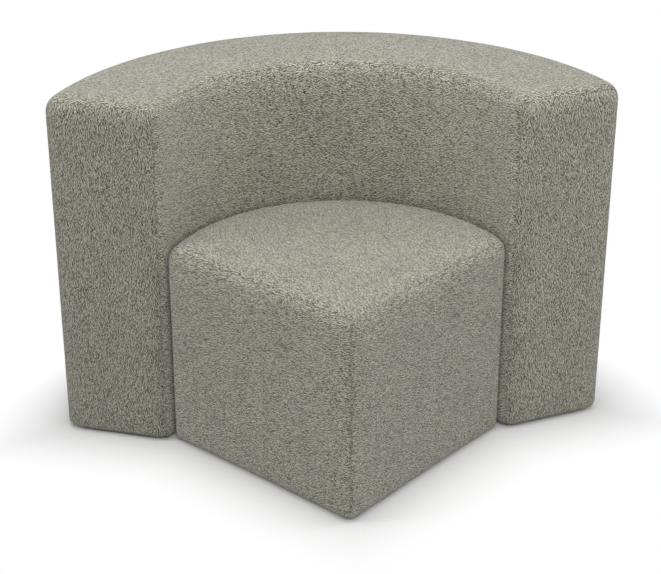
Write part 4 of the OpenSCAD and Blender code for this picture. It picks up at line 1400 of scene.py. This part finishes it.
class LOUNGE_OT_frame_finish(bpy.types.Operator):
    """Gives the frame and its hardware their finishes"""

    bl_idname = "lounge.frame_finish"
    bl_label = "Frame finishes"

    RIB_SHARES = (-0.62, -0.31, 0.0, 0.31, 0.62)
    LEVEL = ("back_base_former", "back_mid_former", "back_top_former", "seat_base_ring",
             "seat_deck_ring")
    BENT = ("back_inner_skin", "back_outer_skin", "seat_rear_board")
    BLOCKS = ("seat_front_block", "seat_side_block_left", "seat_side_block_right",
              "seat_centre_rail")
    GLIDES = ("back_glides", "seat_glides")
    STEEL = ("joining_plates", "end_board_screws", "back_glide_screws", "seat_glide_screws",
             "joining_screws")

    def paint(self, material, *nodes):
        """Gives nodes a material."""
        for node in nodes:
            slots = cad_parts[node].data.materials
            slots.clear()
            slots.append(material)

    def execute(self, context):
        back = context.scene.back_sizes
        self.paint(plywood("plywood_level", axis=(0.0, 0.0, 1.0)), *self.LEVEL)
        self.paint(plywood("plywood_bent", centre=arc_centre(back)[:2].tolist()), *self.BENT)
        for count, rib_share in enumerate(self.RIB_SHARES, 1):
            turn = back.half_sweep * rib_share
            axis = (math.cos(turn), -math.sin(turn), 0.0)
            self.paint(plywood(f"plywood_rib_{count}", axis=axis), f"back_rib_{count}")
        sweep = back.half_sweep
        for side, word in ((-1, "left"), (1, "right")):
            axis = (side * math.cos(sweep), -math.sin(sweep), 0.0)
            self.paint(plywood("plywood_end_" + word, axis=axis), "back_end_board_" + word)
            axis = (side * math.sin(EIGHTH), -math.cos(EIGHTH), 0.0)
            self.paint(plywood("plywood_side_" + word, axis=axis), "seat_side_board_" + word)
        self.paint(planed_beech(), *self.BLOCKS)
        self.paint(moulded_nylon(), *self.GLIDES)
        self.paint(bpy.data.materials["zinc_steel"], *self.STEEL)
        return {"FINISHED"}


class LOUNGE_PT_panel(bpy.types.Panel):
    """Lists the steps that make the piece, and its sizes and colours."""

    bl_idname = "LOUNGE_PT_panel"
    bl_label = "Lounge seat"
    bl_space_type = "VIEW_3D"
    bl_region_type = "UI"
    bl_category = "Lounge seat"

    def draw(self, context):
        for step in STEPS:
            self.layout.operator(step.bl_idname)
        for group in GROUPS:
            box = self.layout.box()
            holder = getattr(context.scene, group)
            for key in holder.bl_rna.properties.keys():
                if key not in ("rna_type", "name"):
                    box.prop(holder, key)


STEPS = (
    LOUNGE_OT_stage,
    LOUNGE_OT_covers,
    LOUNGE_OT_foams,
    LOUNGE_OT_webbing,
    LOUNGE_OT_undersides,
    LOUNGE_OT_frame_finish,
)
GROUPS = {
    "back_sizes": BackSizes,
    "seat_sizes": SeatSizes,
    "cover_look": CoverLook,
    "stage_look": StageLook,
}


def register():
    """Registers the classes and gives the scene its sizes."""
    for kind in (*GROUPS.values(), *STEPS, LOUNGE_PT_panel):
        bpy.utils.register_class(kind)
    for name, kind in GROUPS.items():
        setattr(bpy.types.Scene, name, bpy.props.PointerProperty(type=kind))


def unregister():
    """Undoes register."""
    for name in GROUPS:
        delattr(bpy.types.Scene, name)
    for kind in reversed((*GROUPS.values(), *STEPS, LOUNGE_PT_panel)):
        bpy.utils.unregister_class(kind)


def main():
    """Makes the whole piece, in order."""
    register()
    bpy.ops.lounge.stage()
    bpy.ops.lounge.covers()
    bpy.ops.lounge.foams()
    bpy.ops.lounge.webbing()
    bpy.ops.lounge.undersides()
    bpy.ops.lounge.frame_finish()


if __name__ == "__main__":
    main()
